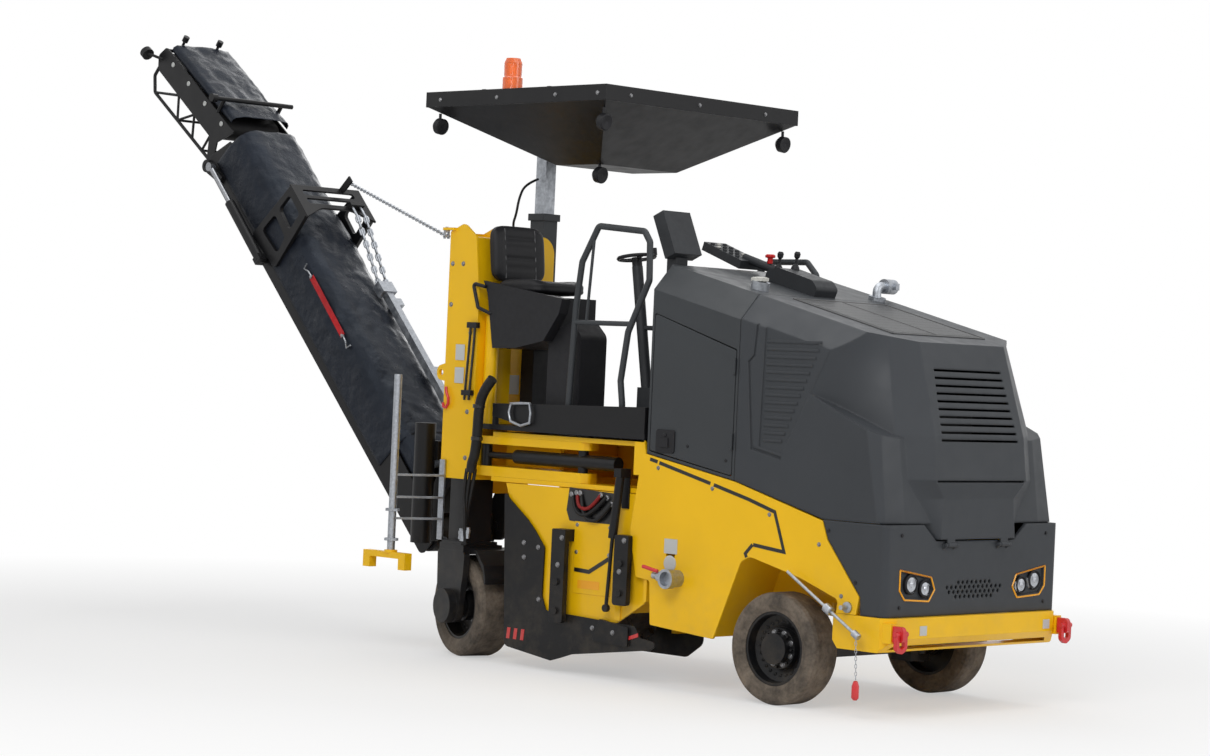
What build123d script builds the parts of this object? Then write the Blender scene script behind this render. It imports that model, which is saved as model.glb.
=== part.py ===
"""Compact wheeled cold planer: rear drum flush with the right side, folding rear conveyor.

Machine frame while modelling: x forward from the front axle, y to the left, z up from the ground.
Every node is moved at the end, so that the origin is the middle of the base of the whole machine.
"""
from build123d import *
import os
from math import atan2, cos, degrees, hypot, pi, radians, sin, sqrt, tan

# ---------------------------------------------------------------- driving sizes, mm
# wheels and axles
WHEEL_R = 310
RIM_R = 205
TYRE_SHOULDER = 30
FRONT_TYRE_W = 200
REAR_TYRE_W = 240
FRONT_WHEEL_Y = 680
REAR_WHEEL_Y = 577
REAR_X = -2600
KINGPIN_Y = 520
KINGPIN_R = 62
AXLE_HALF = 55
STUB_R = 78
STEER_ARM = 150
FORK_EAR = 34
REAR_HEADING = -14
PIVOT_GAP = 0.3
RUN_GAP = 6

# body outline
PLATE_HALF = 780
BODY_HALF = PLATE_HALF - 5
PLATE_T = 15
SEAM = 4
WELL_HALF = 385
HOOD_REAR = -336
COVER_REAR = -1010
FASCIA_FRONT = 764
FASCIA_T = 22
FASCIA_LOW = 548
FASCIA_TOP = 1040
BUMPER_FRONT = 800
BUMPER_T = 38
BUMPER_LOW = 360
COVER_T = 26
COVER_TOP_REAR = 2417
COVER_TOP_FRONT = 2256
COVER_CHAMFER = 145
DOOR_T = 26
HOOD_T = 18
HOOD_TOP_FRONT = 1985
DECK_Z = 1404
DECK_T = 30
SKIRT_TOP = 1590
SKIRT_T = 14
DECK_REAR = -2440

# rear frame, legs and drum
MAST_REAR = -2735
MAST_FRONT = -2460
MAST_LOW = 1090
MAST_BEND = 2200
MAST_TOP = 2569
MAST_PLATE_TOP = 2648
MAST_INNER_Y = -490
WALL_END = 105
MAST_T = 14
REAR_DECK_TOP = 1390
LEG_R = 118
LEG_SIDE = 190
LEG_FOOT_Z = 690
LEG_TRAVEL = 300
DRUM_X = -1560
DRUM_Z = 450
DRUM_TIP_R = 325
DRUM_SHELL_R = 245
DRUM_WIDTH = 500
DRUM_Y = -462
HOUSING_T = 14
HOUSING_GAP = 16
PROTECTOR_T = 8
PROTECTOR_GAP = 9.5
CROSS_WALL_LOW = 480                              # lower edge of the wall in front of the drum
PROTECTOR_TRAVEL = 200                            # lift of the side plates

# canopy
CANOPY_X = (-2980, -1430)
CANOPY_Y = (-810, 910)
CANOPY_TOP = 3455
CANOPY_EDGE = 3362
CANOPY_LOW = 3035
POST_X = -2822
POST_Y = 100
POST_SIDE = 88
SLEEVE_T = 16

# conveyor
BOOM_Y = -200
BOOM_ANGLE = 47.6
BOOM_PIVOT = (-3120, 750)
BOOM_HALF = 270
BOOM_PLATE_T = 10
BOOM_LOW = -236
BOOM_SIDE_TOP = 40
BOOM_TOP = 194
BOOM_TAIL = -70
FOLD_U = 3352
TIP_ANGLE = 37.0
TIP_LENGTH = 985
TIP_TOP = 420
SLEW_X = -2915
PULLEY_R = 78
BELT_T = 12


# ---------------------------------------------------------------- helpers
def outline(rows):
    """Closed face from rows of (u, v, corner radius); a radius of 0 leaves a sharp corner."""
    edges, ends = [], []
    count = len(rows)
    for i, (u, v, r) in enumerate(rows):
        here = Vector(u, v)
        if not r:
            ends.append((here, here))
            continue
        back = (Vector(*rows[i - 1][:2]) - here).normalized()
        ahead = (Vector(*rows[(i + 1) % count][:2]) - here).normalized()
        half = radians(back.get_angle(ahead)) / 2
        reach = r / tan(half)
        middle = here + (back + ahead).normalized() * (r / sin(half) - r)
        first, last = here + back * reach, here + ahead * reach
        edges.append(ThreePointArc(first, middle, last))
        ends.append((first, last))
    for i in range(count):
        start, stop = ends[i][1], ends[(i + 1) % count][0]
        if (stop - start).length > 1e-6:
            edges.append(Line(start, stop))
    return make_face(Wire(edges) if len(edges) > 1 else edges)


def sharp(points):
    """Closed face from plain (u, v) corners."""
    return outline([(u, v, 0) for u, v in points])


def slab_x(face, x0, x1):
    """Face drawn in (y, z), made solid from x0 to x1."""
    return extrude(Plane.YZ.offset(x0) * face, amount=x1 - x0)


def slab_y(face, y0, y1):
    """Face drawn in (x, z), made solid from y0 to y1."""
    return extrude(Plane.XZ.offset(-y0) * face, amount=-(y1 - y0))


def slab_z(face, z0, z1):
    """Face drawn in (x, y), made solid from z0 to z1."""
    return extrude(Plane.XY.offset(z0) * face, amount=z1 - z0)


def block(x0, x1, y0, y1, z0, z1):
    """Box between its low and high faces, given in either order."""
    return Pos((x0 + x1) / 2, (y0 + y1) / 2, (z0 + z1) / 2) * Box(abs(x1 - x0), abs(y1 - y0), abs(z1 - z0))


def bar(p, q, r, inner=0):
    """Round bar, or tube, from point p to point q."""
    p, q = Vector(*p), Vector(*q)
    plane = Plane(origin=p, z_dir=(q - p).normalized())
    ring = Circle(r) - Circle(inner) if inner else Circle(r)
    return extrude(plane * ring, amount=(q - p).length)


def pipe(points, r, bend):
    """Round bent tube through points, with one bend radius."""
    path = FilletPolyline(*points, radius=bend)
    start = Plane(origin=path @ 0, z_dir=path % 0)
    return sweep(start * Circle(r), path=path)


def turned(rows):
    """Solid of revolution about Z from rows of (radius, height), in either order."""
    area = sum(a[0] * b[1] - b[0] * a[1] for a, b in zip(rows, rows[1:] + rows[:1]))
    rows = rows if area > 0 else rows[::-1]
    solid = revolve(Plane.XZ * make_face(Polyline(*rows, close=True)), Axis.Z)
    return solid if solid.volume > 0 else Solid(solid.wrapped.Reversed())


def spin(rows, plane):
    """Solid turned from rows of (radius, distance along the plane's normal)."""
    return plane.location * turned(rows)


def mirror_y(shape):
    return mirror(shape, about=Plane.XZ)


def fuse(*shapes):
    whole = None
    for shape in shapes:
        whole = shape if whole is None else whole + shape
    return whole


# ---------------------------------------------------------------- wheels
def tyre(width):
    """Solid rubber tyre about the Y axis."""
    h, s = width / 2, TYRE_SHOULDER
    face = sharp([(RIM_R, -h + 12), (WHEEL_R - 70, -h), (WHEEL_R - s, -h), (WHEEL_R - s * 0.3, -h + s * 0.3),
                  (WHEEL_R, -h + s), (WHEEL_R, h - s), (WHEEL_R - s * 0.3, h - s * 0.3), (WHEEL_R - s, h),
                  (WHEEL_R - 70, h), (RIM_R, h - 12)])
    return Plane.XZ.location * revolve(Plane.XZ * face, Axis.Z)


def rim(width, face_out):
    """Dished steel rim with hub and wheel studs; face_out is +1 when the hub faces +y."""
    h = width / 2 - 16
    rows = [(RIM_R, -h), (RIM_R, h), (RIM_R - 16, h), (RIM_R - 22, 30), (120, 8), (114, 46), (86, 46),
            (86, h + 8), (0, h + 8), (0, -h + 20), (STUB_R + 14, -h + 20), (STUB_R + 14, -22),
            (RIM_R - 22, -14), (RIM_R - 16, -h)]
    body = turned(rows)
    angles = [2 * pi * k / 8 for k in range(8)]
    studs = [Pos(100 * cos(a), 100 * sin(a), 45) * extrude(RegularPolygon(9, 6), 21) for a in angles]
    body = fuse(body, *studs)
    turn = -90 if face_out > 0 else 90
    return Rot(X=turn) * body


def wheel(x, y, width, face_out, heading=0):
    place = Pos(x, y, WHEEL_R) * Rot(Z=heading)
    return place * tyre(width), place * rim(width, face_out)


# ---------------------------------------------------------------- front axle and steering
EAR_TOP = WHEEL_R + 110
EAR_LOW = WHEEL_R - 110
KNUCKLE_TOP = EAR_TOP - FORK_EAR - PIVOT_GAP
KNUCKLE_LOW = EAR_LOW + FORK_EAR + PIVOT_GAP
HUB_BACK = FRONT_WHEEL_Y - (FRONT_TYRE_W / 2 - 16) + 20
ARM_LOW = KNUCKLE_LOW + 8
ARM_T = 18
ROD_T = 22
SADDLE_X = 106
SADDLE_BORE = 40


def front_axle():
    """Beam with a fork for each kingpin, and the boss and pin on which it rocks."""
    ear = outline([(-72, KINGPIN_Y - 130, 0), (72, KINGPIN_Y - 130, 0), (KINGPIN_R, KINGPIN_Y + 62, 55),
                   (-KINGPIN_R, KINGPIN_Y + 62, 55)])
    side = slab_z(ear, EAR_LOW, EAR_LOW + FORK_EAR) + slab_z(ear, EAR_TOP - FORK_EAR, EAR_TOP)
    side += block(-72, 72, KINGPIN_Y - 160, KINGPIN_Y - 80, EAR_LOW, EAR_TOP)
    for z0, z1 in ((EAR_LOW - 12, EAR_LOW), (EAR_TOP, EAR_TOP + 12)):
        side += Pos(0, KINGPIN_Y, (z0 + z1) / 2) * Cylinder(34, z1 - z0)
    beam = block(-AXLE_HALF, AXLE_HALF, -KINGPIN_Y + 120, KINGPIN_Y - 120, WHEEL_R - 60, WHEEL_R + 60)
    reach = SADDLE_X - PIVOT_GAP
    boss = bar((-reach, 0, WHEEL_R + 95), (reach, 0, WHEEL_R + 95), 62)
    pin = bar((-reach - 26, 0, WHEEL_R + 95), (reach + 26, 0, WHEEL_R + 95), SADDLE_BORE - PIVOT_GAP)
    neck = block(-AXLE_HALF, AXLE_HALF, -62, 62, WHEEL_R, WHEEL_R + 95)
    return fuse(beam, side, mirror_y(side), boss, pin, neck)


def knuckle(side):
    """Kingpin barrel, stub flange up to the wheel's hub, and the steering arm; side is -1 right, +1 left."""
    y = KINGPIN_Y
    body = Pos(0, y, (KNUCKLE_TOP + KNUCKLE_LOW) / 2) * Cylinder(KINGPIN_R - 6, KNUCKLE_TOP - KNUCKLE_LOW)
    body += bar((0, y, WHEEL_R), (0, HUB_BACK - PIVOT_GAP, WHEEL_R), STUB_R - 22)
    body += bar((0, HUB_BACK - 24, WHEEL_R), (0, HUB_BACK - PIVOT_GAP, WHEEL_R), STUB_R)
    arm = outline([(40, y - 34, 10), (40, y + 34, 10), (-STEER_ARM - 26, y + 26, 24),
                   (-STEER_ARM - 26, y - 26, 24)])
    body += slab_z(arm, ARM_LOW, ARM_LOW + ARM_T)
    return body if side > 0 else mirror_y(body)


def steering_rod():
    """Track rod that runs under both steering arms, behind the axle."""
    top = ARM_LOW - PIVOT_GAP
    body = bar((-STEER_ARM, -KINGPIN_Y, top - ROD_T / 2), (-STEER_ARM, KINGPIN_Y, top - ROD_T / 2),
               ROD_T / 2 - 3)
    for y in (-KINGPIN_Y, KINGPIN_Y):
        body += Pos(-STEER_ARM, y, top - ROD_T / 2) * Cylinder(25, ROD_T)
    return body


# ---------------------------------------------------------------- main frame
# upper edge of the side plates: the lower edge of doors and hood runs along it
SILL = [(-1030, 1400), (COVER_REAR - SEAM, 1325), (-327, 1206), (317, 1034)]
FASCIA_EDGE = [(317, 1034), (358, 935), (596, 644), (602, FASCIA_LOW)]


def sill_z(x):
    """Height of the side plates' upper edge, under the doors and the hood."""
    (x0, z0), (x1, z1) = (SILL[1], SILL[2]) if x < SILL[2][0] else (SILL[2], SILL[3])
    return z0 + (z1 - z0) * (x - x0) / (x1 - x0)


def right_plate_face():
    rows = [(x, z, 0) for x, z in SILL]
    rows += [(358 - SEAM, 935, 8), (596 - SEAM, 644, 14), (575, FASCIA_LOW, 0), (440, FASCIA_LOW, 0)]
    rows += [(447, 620, 30), (174, 715, 60), (-190, 800, 60), (-255, 770, 40), (-440, 320, 10)]
    rows += [(-925, 355, 10), (-943, 606, 20), (-1052, 618, 20), (-1112, 878, 20)]
    return outline(rows)


def left_plate_face():
    rows = [(DECK_REAR + 60, 1400, 20)] + [(x, z, 0) for x, z in SILL]
    rows += [(358 - SEAM, 935, 8), (596 - SEAM, 644, 14), (575, FASCIA_LOW, 0), (440, FASCIA_LOW, 0)]
    rows += [(447, 620, 30), (174, 715, 60), (-190, 800, 60), (-255, 770, 40), (-440, 320, 10)]
    rows += [(-1050, 380, 10), (-1900, 460, 30), (-2180, 760, 40), (DECK_REAR + 60, 1000, 40)]
    return outline(rows)


def main_frame():
    right = slab_y(right_plate_face(), -PLATE_HALF, -PLATE_HALF + PLATE_T)
    left = slab_y(left_plate_face(), PLATE_HALF - PLATE_T, PLATE_HALF)
    inner = PLATE_HALF - PLATE_T
    # wheel wells: inner wall, roof and slanted rear wall on each side
    well_wall = sharp([(-440, 430), (-150, 560), (640, 560), (640, 950), (-300, 1195), (-990, 1290),
                       (-990, 470)])
    well = slab_y(well_wall, WELL_HALF - PLATE_T, WELL_HALF)
    roof = sharp([(520, 690), (440, 690), (174, 735), (-190, 820), (-275, 780), (-455, 330), (-475, 330),
                  (-292, 790), (-190, 838), (180, 752), (440, 706), (520, 706)])
    well += slab_y(roof, WELL_HALF - 1, inner + 1)
    body = fuse(right, left, well, mirror_y(well))
    # belly cross members, bulkhead and the saddle that carries the axle's pivot
    body += block(-990, 640, -WELL_HALF + 1, WELL_HALF - 1, 560, 580)
    body += block(-1000, -975, -inner - 1, inner + 1, CROSS_WALL_LOW, 1312)
    body += block(620, 640, -WELL_HALF, WELL_HALF, 560, 940)
    saddle = sharp([(-150, 562), (150, 562), (80, 335), (-80, 335)])
    for x in (-SADDLE_X - 16, SADDLE_X):
        body += slab_x(saddle, x, x + 16)
    body -= bar((-140, 0, WHEEL_R + 95), (140, 0, WHEEL_R + 95), SADDLE_BORE)
    # left longitudinal beam and rear cross beam, beside and behind the drum
    body += block(-2300, -1030, 330, 345, 560, 1380) + block(-1031, -990, 330, 345, 560, 1300)
    body += block(-2330, -2300, -150, inner + 1, 800, 1380)
    for z, front in ((1092, -999), (1362, -1030)):
        deck = sharp([(-2330, -735), (front, -735), (front, inner), (-2330, inner)])
        hole = sharp([(-2250, -470), (-1350, -470), (-1350, 250), (-2250, 250)])
        body += slab_z(deck - hole if z < 1300 else deck, z, z + 28)
    body += block(-1105, -1030, -PLATE_HALF, -735, 1200, 1390)
    # port and recess in the right plate
    body -= bar((-787, -PLATE_HALF - 5, 765), (-787, -PLATE_HALF + 30, 765), 34)
    return body


def front_bumper():
    outer = [(421, -PLATE_HALF), (740, -PLATE_HALF), (BUMPER_FRONT, -PLATE_HALF + 70)]
    outer += [(x, -y) for x, y in reversed(outer)]
    t = BUMPER_T
    inner = [(400, -PLATE_HALF + t), (740 - t * 0.6, -PLATE_HALF + t),
             (BUMPER_FRONT - t, -PLATE_HALF + 78 + t * 0.5)]
    inner += [(x, -y) for x, y in reversed(inner)]
    ring = slab_z(sharp(outer), BUMPER_LOW, FASCIA_LOW - 2)
    ring -= slab_z(sharp(inner), BUMPER_LOW + 14, FASCIA_LOW - 16)
    hollow = sharp([(400, -PLATE_HALF + 90), (640, -PLATE_HALF + 90), (640, PLATE_HALF - 90),
                    (400, PLATE_HALF - 90)])
    ring -= slab_z(hollow, BUMPER_LOW - 5, FASCIA_LOW + 5)
    rake = slab_y(sharp([(400, BUMPER_LOW - 5), (460, BUMPER_LOW - 5), (400, FASCIA_LOW - 120)]),
                  -PLATE_HALF - 5,
                  PLATE_HALF + 5)
    ring -= rake
    chin = slab_y(sharp([(BUMPER_FRONT - 75, BUMPER_LOW - 5), (BUMPER_FRONT + 5, BUMPER_LOW - 5),
                         (BUMPER_FRONT + 5, BUMPER_LOW + 80)]), -PLATE_HALF - 5, PLATE_HALF + 5)
    ring -= chin
    for y in (-744, 744):
        ring += block(BUMPER_FRONT - 60, BUMPER_FRONT + 12, y - 24, y + 24, 415, 520)
    return ring


SHACKLE_X = BUMPER_FRONT + 58


def tow_shackles():
    """Lug, pin and flat bow of each front shackle."""
    bow = outline([(-46, 478, 0), (-46, 390, 30), (0, 362, 30), (46, 390, 30), (46, 478, 0)])
    bow -= outline([(-22, 490, 0), (-22, 404, 12), (0, 388, 12), (22, 404, 12), (22, 490, 0)])
    whole = []
    for y in (-744, 744):
        lug = slab_y(outline([(BUMPER_FRONT + 12.3, 425, 0), (SHACKLE_X + 26, 425, 24),
                              (SHACKLE_X + 26, 510, 24),
                              (BUMPER_FRONT + 12.3, 510, 0)]), y - 14, y + 14)
        lug += bar((SHACKLE_X, y - 50, 470), (SHACKLE_X, y + 50, 470), 15)
        lug += Pos(0, y, 0) * slab_x(bow, SHACKLE_X - 11, SHACKLE_X + 11)
        whole.append(lug)
    return whole


# ---------------------------------------------------------------- fascia, hood, covers
LAMP_POD = [(644, 792), (385, 748), (362, 690), (405, 640), (604, 652), (644, 690)]
HEADLAMPS = [(547, 718, 47), (418, 693, 37)]      # y, z, radius
NOTCH = (464, 352, 952)                           # half width at the top and at the bottom, height of the bottom
HOOD_HINGE = (FASCIA_FRONT + 16, 0, 930)
HINGE_Y = (-240, 240)


def front_fascia():
    front = outline([(-BODY_HALF, FASCIA_LOW, 0), (BODY_HALF, FASCIA_LOW, 0), (BODY_HALF, FASCIA_TOP, 0),
                     (NOTCH[0], FASCIA_TOP, 0), (NOTCH[1], NOTCH[2], 0), (-NOTCH[1], NOTCH[2], 0),
                     (-NOTCH[0], FASCIA_TOP, 0),
                     (-BODY_HALF, FASCIA_TOP, 0)])
    panel = slab_x(front, FASCIA_FRONT - 150, FASCIA_FRONT)
    corner = 46
    plan = outline([(200, -BODY_HALF, 0), (FASCIA_FRONT, -BODY_HALF, corner),
                    (FASCIA_FRONT, BODY_HALF, corner),
                    (200, BODY_HALF, 0)])
    t = FASCIA_T
    hollow = outline([(190, -BODY_HALF + t, 0), (FASCIA_FRONT - t, -BODY_HALF + t, corner - t),
                      (FASCIA_FRONT - t, BODY_HALF - t, corner - t), (190, BODY_HALF - t, 0)])
    wing_face = sharp(FASCIA_EDGE + [(FASCIA_FRONT, FASCIA_LOW), (FASCIA_FRONT, FASCIA_TOP),
                                     (317, FASCIA_TOP)])
    wings = slab_y(wing_face, -BODY_HALF, -BODY_HALF + 60) + slab_y(wing_face, BODY_HALF - 60, BODY_HALF)
    shell = slab_z(plan, FASCIA_LOW, FASCIA_TOP) - slab_z(hollow, FASCIA_LOW - 5, FASCIA_TOP + 5)
    body = (panel + wings) & shell
    for side in (-1, 1):
        pod = sharp([(side * y, z) for y, z in LAMP_POD])
        body -= slab_x(pod, FASCIA_FRONT - 12, FASCIA_FRONT + 5)
    hexes = []
    for row, z in enumerate((646, 672, 698, 724)):
        count = (9, 12, 13, 8)[row]
        for k in range(count):
            y = (k - (count - 1) / 2) * 40
            hexes.append(Pos(y, z) * RegularPolygon(12, 6))
    body -= slab_x(Sketch() + hexes, FASCIA_FRONT - FASCIA_T - 5, FASCIA_FRONT + 5)
    hx, _, hz = HOOD_HINGE
    for y in HINGE_Y:
        for s in (-1, 1):
            ear = slab_y(outline([(FASCIA_FRONT - 1, hz - 26, 0), (hx, hz - 12, 0),
                                  (hx + 11, hz - 6, 4), (hx + 11, hz + 8, 8),
                                  (FASCIA_FRONT - 1, hz + 12, 0)]), y + s * 46 - 9, y + s * 46 + 9)
            body += ear
        body += bar((hx, y - 54, hz), (hx, y + 54, hz), 6)
    return body


def headlamps():
    lamps = []
    for side in (-1, 1):
        for y, z, r in HEADLAMPS:
            rows = [(0, -11.7), (r, -11.7), (r, 0), (r - 7, 4), (r - 12, -2), (r * 0.45, 1), (0, 3)]
            plane = Plane(origin=(FASCIA_FRONT, side * y, z), z_dir=(1, 0, 0))
            lamps.append(spin(rows, plane))
    return lamps


def engine_block():
    """Engine, pump and cooler as one heavy mass inside the covers, seated on the belly plate."""
    return block(-860, 480, -300, 300, 580.3, 1640)


def cover_profile(grow, low):
    """Side outline of the rear cover; grow moves the walls inwards by that much."""
    slope = (COVER_TOP_REAR - COVER_TOP_FRONT) / (COVER_REAR - HOOD_REAR)
    rear, front = COVER_REAR + grow, HOOD_REAR - SEAM + (5 if grow else 0)
    top_rear = COVER_TOP_REAR + slope * (rear - COVER_REAR) - grow
    top_front = COVER_TOP_REAR + slope * (front - COVER_REAR) - grow
    low_rear, low_front = sill_z(rear) + SEAM, sill_z(front) + SEAM
    return sharp([(rear, low_rear - low), (rear, top_rear), (front, top_front), (front, low_front - low)])


DOOR = [(-988, 2128), (-362, 1935), (-362, 1238), (-988, 1348)]


def door_face(gap):
    return outline([(DOOR[0][0] - gap, DOOR[0][1] + gap, 12), (DOOR[1][0] + gap, DOOR[1][1] + gap, 12),
                    (DOOR[2][0] + gap, DOOR[2][1] - gap, 12), (DOOR[3][0] - gap, DOOR[3][1] - gap, 12)])


def engine_cover():
    outer = slab_y(cover_profile(0, 0), -BODY_HALF, BODY_HALF)
    inner = slab_y(cover_profile(COVER_T, 60), -BODY_HALF + COVER_T, BODY_HALF - COVER_T)
    top_edges = [e for e in outer.edges() if abs(e.center().Z - (COVER_TOP_REAR + COVER_TOP_FRONT) / 2) < 40
                 and abs(abs(e.center().Y) - BODY_HALF) < 1]
    outer = chamfer(top_edges, COVER_CHAMFER)
    roof_mid = (COVER_TOP_REAR + COVER_TOP_FRONT) / 2
    inner_edges = [e for e in inner.edges() if abs(e.center().Z - roof_mid + COVER_T) < 40
                   and abs(abs(e.center().Y) - BODY_HALF + COVER_T) < 1]
    inner = chamfer(inner_edges, COVER_CHAMFER - 12)
    body = outer - inner
    for side in (-1, 1):
        body -= slab_y(door_face(6), side * (BODY_HALF - COVER_T - 5), side * (BODY_HALF + 5))
    return body


def side_door(side):
    y0, y1 = side * (BODY_HALF - DOOR_T), side * BODY_HALF
    body = slab_y(door_face(0), y0, y1)
    pocket = outline([(-930, 1400, 8), (-930, 1470, 8), (-880, 1462, 8), (-880, 1392, 8)])
    body -= slab_y(pocket, side * (BODY_HALF - 12), side * (BODY_HALF + 5))
    body += block(-915, -895, side * (BODY_HALF - 13), side * (BODY_HALF - 2), 1420, 1445)
    # hinge leaves on the front edge
    for z in (1380, 1800):
        body += bar((DOOR[1][0] - 2, side * (BODY_HALF + 7), z),
                    (DOOR[1][0] - 2, side * (BODY_HALF + 7), z + 90), 8)
    return body


# upper hood: z, end of the flat side, corner x and y, front x and half width;
# then the prow and the lower shoulders
HOOD_UPPER = [(1280, -44, 700, 572, 786, 410), (1520, 84, 646, 610, 762, 400),
              (2030, 343, 520, 530, 610, 380)]
HOOD_PROW = [(1280, 700, 572, 786, 410), (1180, 705, 540, 774, 316), (960, 705, 360, 780, 336)]
HOOD_LOWER = [(1030, 690, 722, 745, 745, 600), (1480, 600, 652, 722, 680, 600)]
LEDGE = [(183, 1719), (760, 1465)]
HOOD_TOP = 2400


def level_at(rows, z):
    """Row of sizes at height z, on the straight line through the two nearest rows."""
    a, b = (rows[-2], rows[-1]) if z > rows[-2][0] else (rows[0], rows[1])
    k = (z - a[0]) / (b[0] - a[0])
    return [p + (q - p) * k for p, q in zip(a, b)]


def hood_plan(points, grow):
    """Plan outline, the same on both sides, from (x, y) on the left; grow moves it inwards."""
    half = [(x - grow, y - grow) for x, y in points]
    return sharp(half + [(x, -y) for x, y in reversed(half)])


def upper_plan(row, grow):
    z, side, cx, cy, nx, ny = row
    rear = HOOD_REAR + 2 * grow
    return hood_plan([(rear, BODY_HALF), (side, BODY_HALF), (cx, cy), (nx, ny)], grow)


def hood_solid(grow):
    """Hood body: inset upper part above the ledge, full-width shoulders below it."""
    body = None
    for low, high in ((1280, 1520), (1520, HOOD_TOP)):
        rows = [level_at(HOOD_UPPER, z) for z in (low, high)]
        piece = loft([Plane.XY.offset(r[0]) * upper_plan(r, grow) for r in rows], ruled=True)
        body = piece if body is None else body + piece
    rows = [level_at(HOOD_LOWER, z) for z in (1030, 1960)]
    plans = []
    for z, side, cx, cy, fx, fy in rows:
        outer = [(HOOD_REAR + 2 * grow, BODY_HALF), (side, BODY_HALF), (cx, cy), (fx, fy)]
        plans.append(Plane.XY.offset(z) * hood_plan(outer, grow))
    shoulders = loft(plans, ruled=True)
    (x0, z0), (x1, z1) = LEDGE
    slope = (z1 - z0) / (x1 - x0)
    keep = sharp([(HOOD_REAR - 10, 1000), (900, 1000), (900, z0 + slope * (900 - x0) - grow),
                  (HOOD_REAR - 10, z0 + slope * (HOOD_REAR - 10 - x0) - grow)])
    return body + (shoulders & slab_y(keep, -BODY_HALF - 5, BODY_HALF + 5))


def prow(grow):
    """Narrowing nose below the front panel, down into the fascia's notch."""
    piece = None
    for a, b in zip(HOOD_PROW, HOOD_PROW[1:]):
        rows = (a, b)
        plans = [Plane.XY.offset(z) * hood_plan([(640 + 2 * grow, cy), (cx, cy), (nx, ny)], grow)
                 for z, cx, cy, nx, ny in rows]
        part = loft(plans, ruled=True)
        piece = part if piece is None else piece + part
    return piece


def strip(points, width):
    """Band of one width along a line of (u, v) points."""
    band = None
    for (u0, v0), (u1, v1) in zip(points, points[1:]):
        length = hypot(u1 - u0, v1 - v0)
        du, dv = (u1 - u0) / length * width / 2, (v1 - v0) / length * width / 2
        quad = sharp([(u0 - du + dv, v0 - dv - du), (u1 + du + dv, v1 + dv - du),
                      (u1 + du - dv, v1 + dv + du), (u0 - du - dv, v0 - dv + du)])
        band = quad if band is None else band + quad
    return band


def roof_cutter(drop):
    """Keeps what is under the sloping roof, with chamfered long edges."""
    rear_z, front_z = COVER_TOP_FRONT - drop, HOOD_TOP_FRONT - drop
    half = BODY_HALF
    side = slab_y(sharp([(HOOD_REAR - 20, 900), (HOOD_REAR - 20, rear_z + 5), (HOOD_REAR, rear_z),
                         (FASCIA_FRONT, front_z),
                         (FASCIA_FRONT + 40, front_z), (FASCIA_FRONT + 40, 900)]), -half - 20, half + 20)
    slope = (rear_z - front_z) / (HOOD_REAR - FASCIA_FRONT)
    for s in (-1, 1):
        y_out, y_in = s * (half + 20), s * (half - COVER_CHAMFER)
        z = rear_z - COVER_CHAMFER - 20
        wedge = slab_x(sharp([(y_out, z), (y_out, z + 400), (y_in, z + 400), (y_in, rear_z)]), 0, 1)
        start = wedge.faces().sort_by(Axis.X)[0]
        run = Vector(FASCIA_FRONT + 60 - HOOD_REAR, 0, (FASCIA_FRONT + 60 - HOOD_REAR) * slope)
        face = start.moved(Location((HOOD_REAR - 20, 0, -20 * slope)))
        side -= extrude(face, amount=run.length + 40, dir=run.normalized())
    return side


GROOVE = [(-203, 2150), (-226, 1912), (-263, 1875), (-218, 1399), (-11, 1356)]
LOUVRE_FIELD = [(-150, 2120), (250, 2010), (325, 1990), (215, 1773), (-3, 1380), (-166, 1410)]
NOSE_SLOTS = [(z, 300 + (1900 - z) * 0.11) for z in range(1490, 1910, 42)]


def hood():
    outer = hood_solid(0) & roof_cutter(0)
    inner = hood_solid(HOOD_T) & roof_cutter(HOOD_T)
    body = outer - inner
    # open rear, against the fixed cover
    body -= block(HOOD_REAR - 40, HOOD_REAR + 2 * HOOD_T + 1, -BODY_HALF + HOOD_T, BODY_HALF - HOOD_T, 900,
                  HOOD_TOP_FRONT + 60)
    low = sharp([(HOOD_REAR - 40, 900), (HOOD_REAR - 40, 1216), (-327, 1206 + SEAM), (317, 1034 + SEAM + 4),
                 (FASCIA_FRONT + 60, 1034 + SEAM + 6), (FASCIA_FRONT + 60, 900)])
    body -= slab_y(low, -BODY_HALF - 20, BODY_HALF + 20)
    nose = prow(0) - prow(HOOD_T)
    body += nose - block(0, 900, -HOOD_PROW[0][4] + HOOD_T, HOOD_PROW[0][4] - HOOD_T, 1270, 1300)
    # pressed groove and louvre field on each side
    for side in (-1, 1):
        skin, deep = side * (BODY_HALF + 5), side * (BODY_HALF - 7)
        body -= slab_y(strip(GROOVE, 14), skin, deep)
        body -= slab_y(outline([(x, z, 0) for x, z in LOUVRE_FIELD]), skin, side * (BODY_HALF - 6))
        for k in range(14):
            z = 1440 + k * 42
            right_end = -3 + (z - 1380) * 0.47 - 30
            body += block(-140, right_end, side * (BODY_HALF - 7), side * (BODY_HALF - 1), z, z + 16)
    # cooling slots in the nose
    for z, half in NOSE_SLOTS:
        front = level_at(HOOD_UPPER, z)[4]
        slot = outline([(-half, z, 0), (half, z, 0), (half, z + 12, 0), (-half, z + 12, 0)])
        body -= slab_x(slot, front - 50, front + 40)
    # hinge barrels under the prow
    hx, _, hz = HOOD_HINGE
    for y in HINGE_Y:
        barrel = bar((hx, y - 36, hz), (hx, y + 36, hz), 13) + block(hx - 11, hx, y - 34, y + 34, hz, 966)
        body += barrel - bar((hx, y - 40, hz), (hx, y + 40, hz), 6 + PIVOT_GAP)
    return body


# ---------------------------------------------------------------- top fittings and controls
def roof_z(x):
    return COVER_TOP_REAR + (COVER_TOP_REAR - COVER_TOP_FRONT) / (COVER_REAR - HOOD_REAR) * (x - COVER_REAR)


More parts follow.
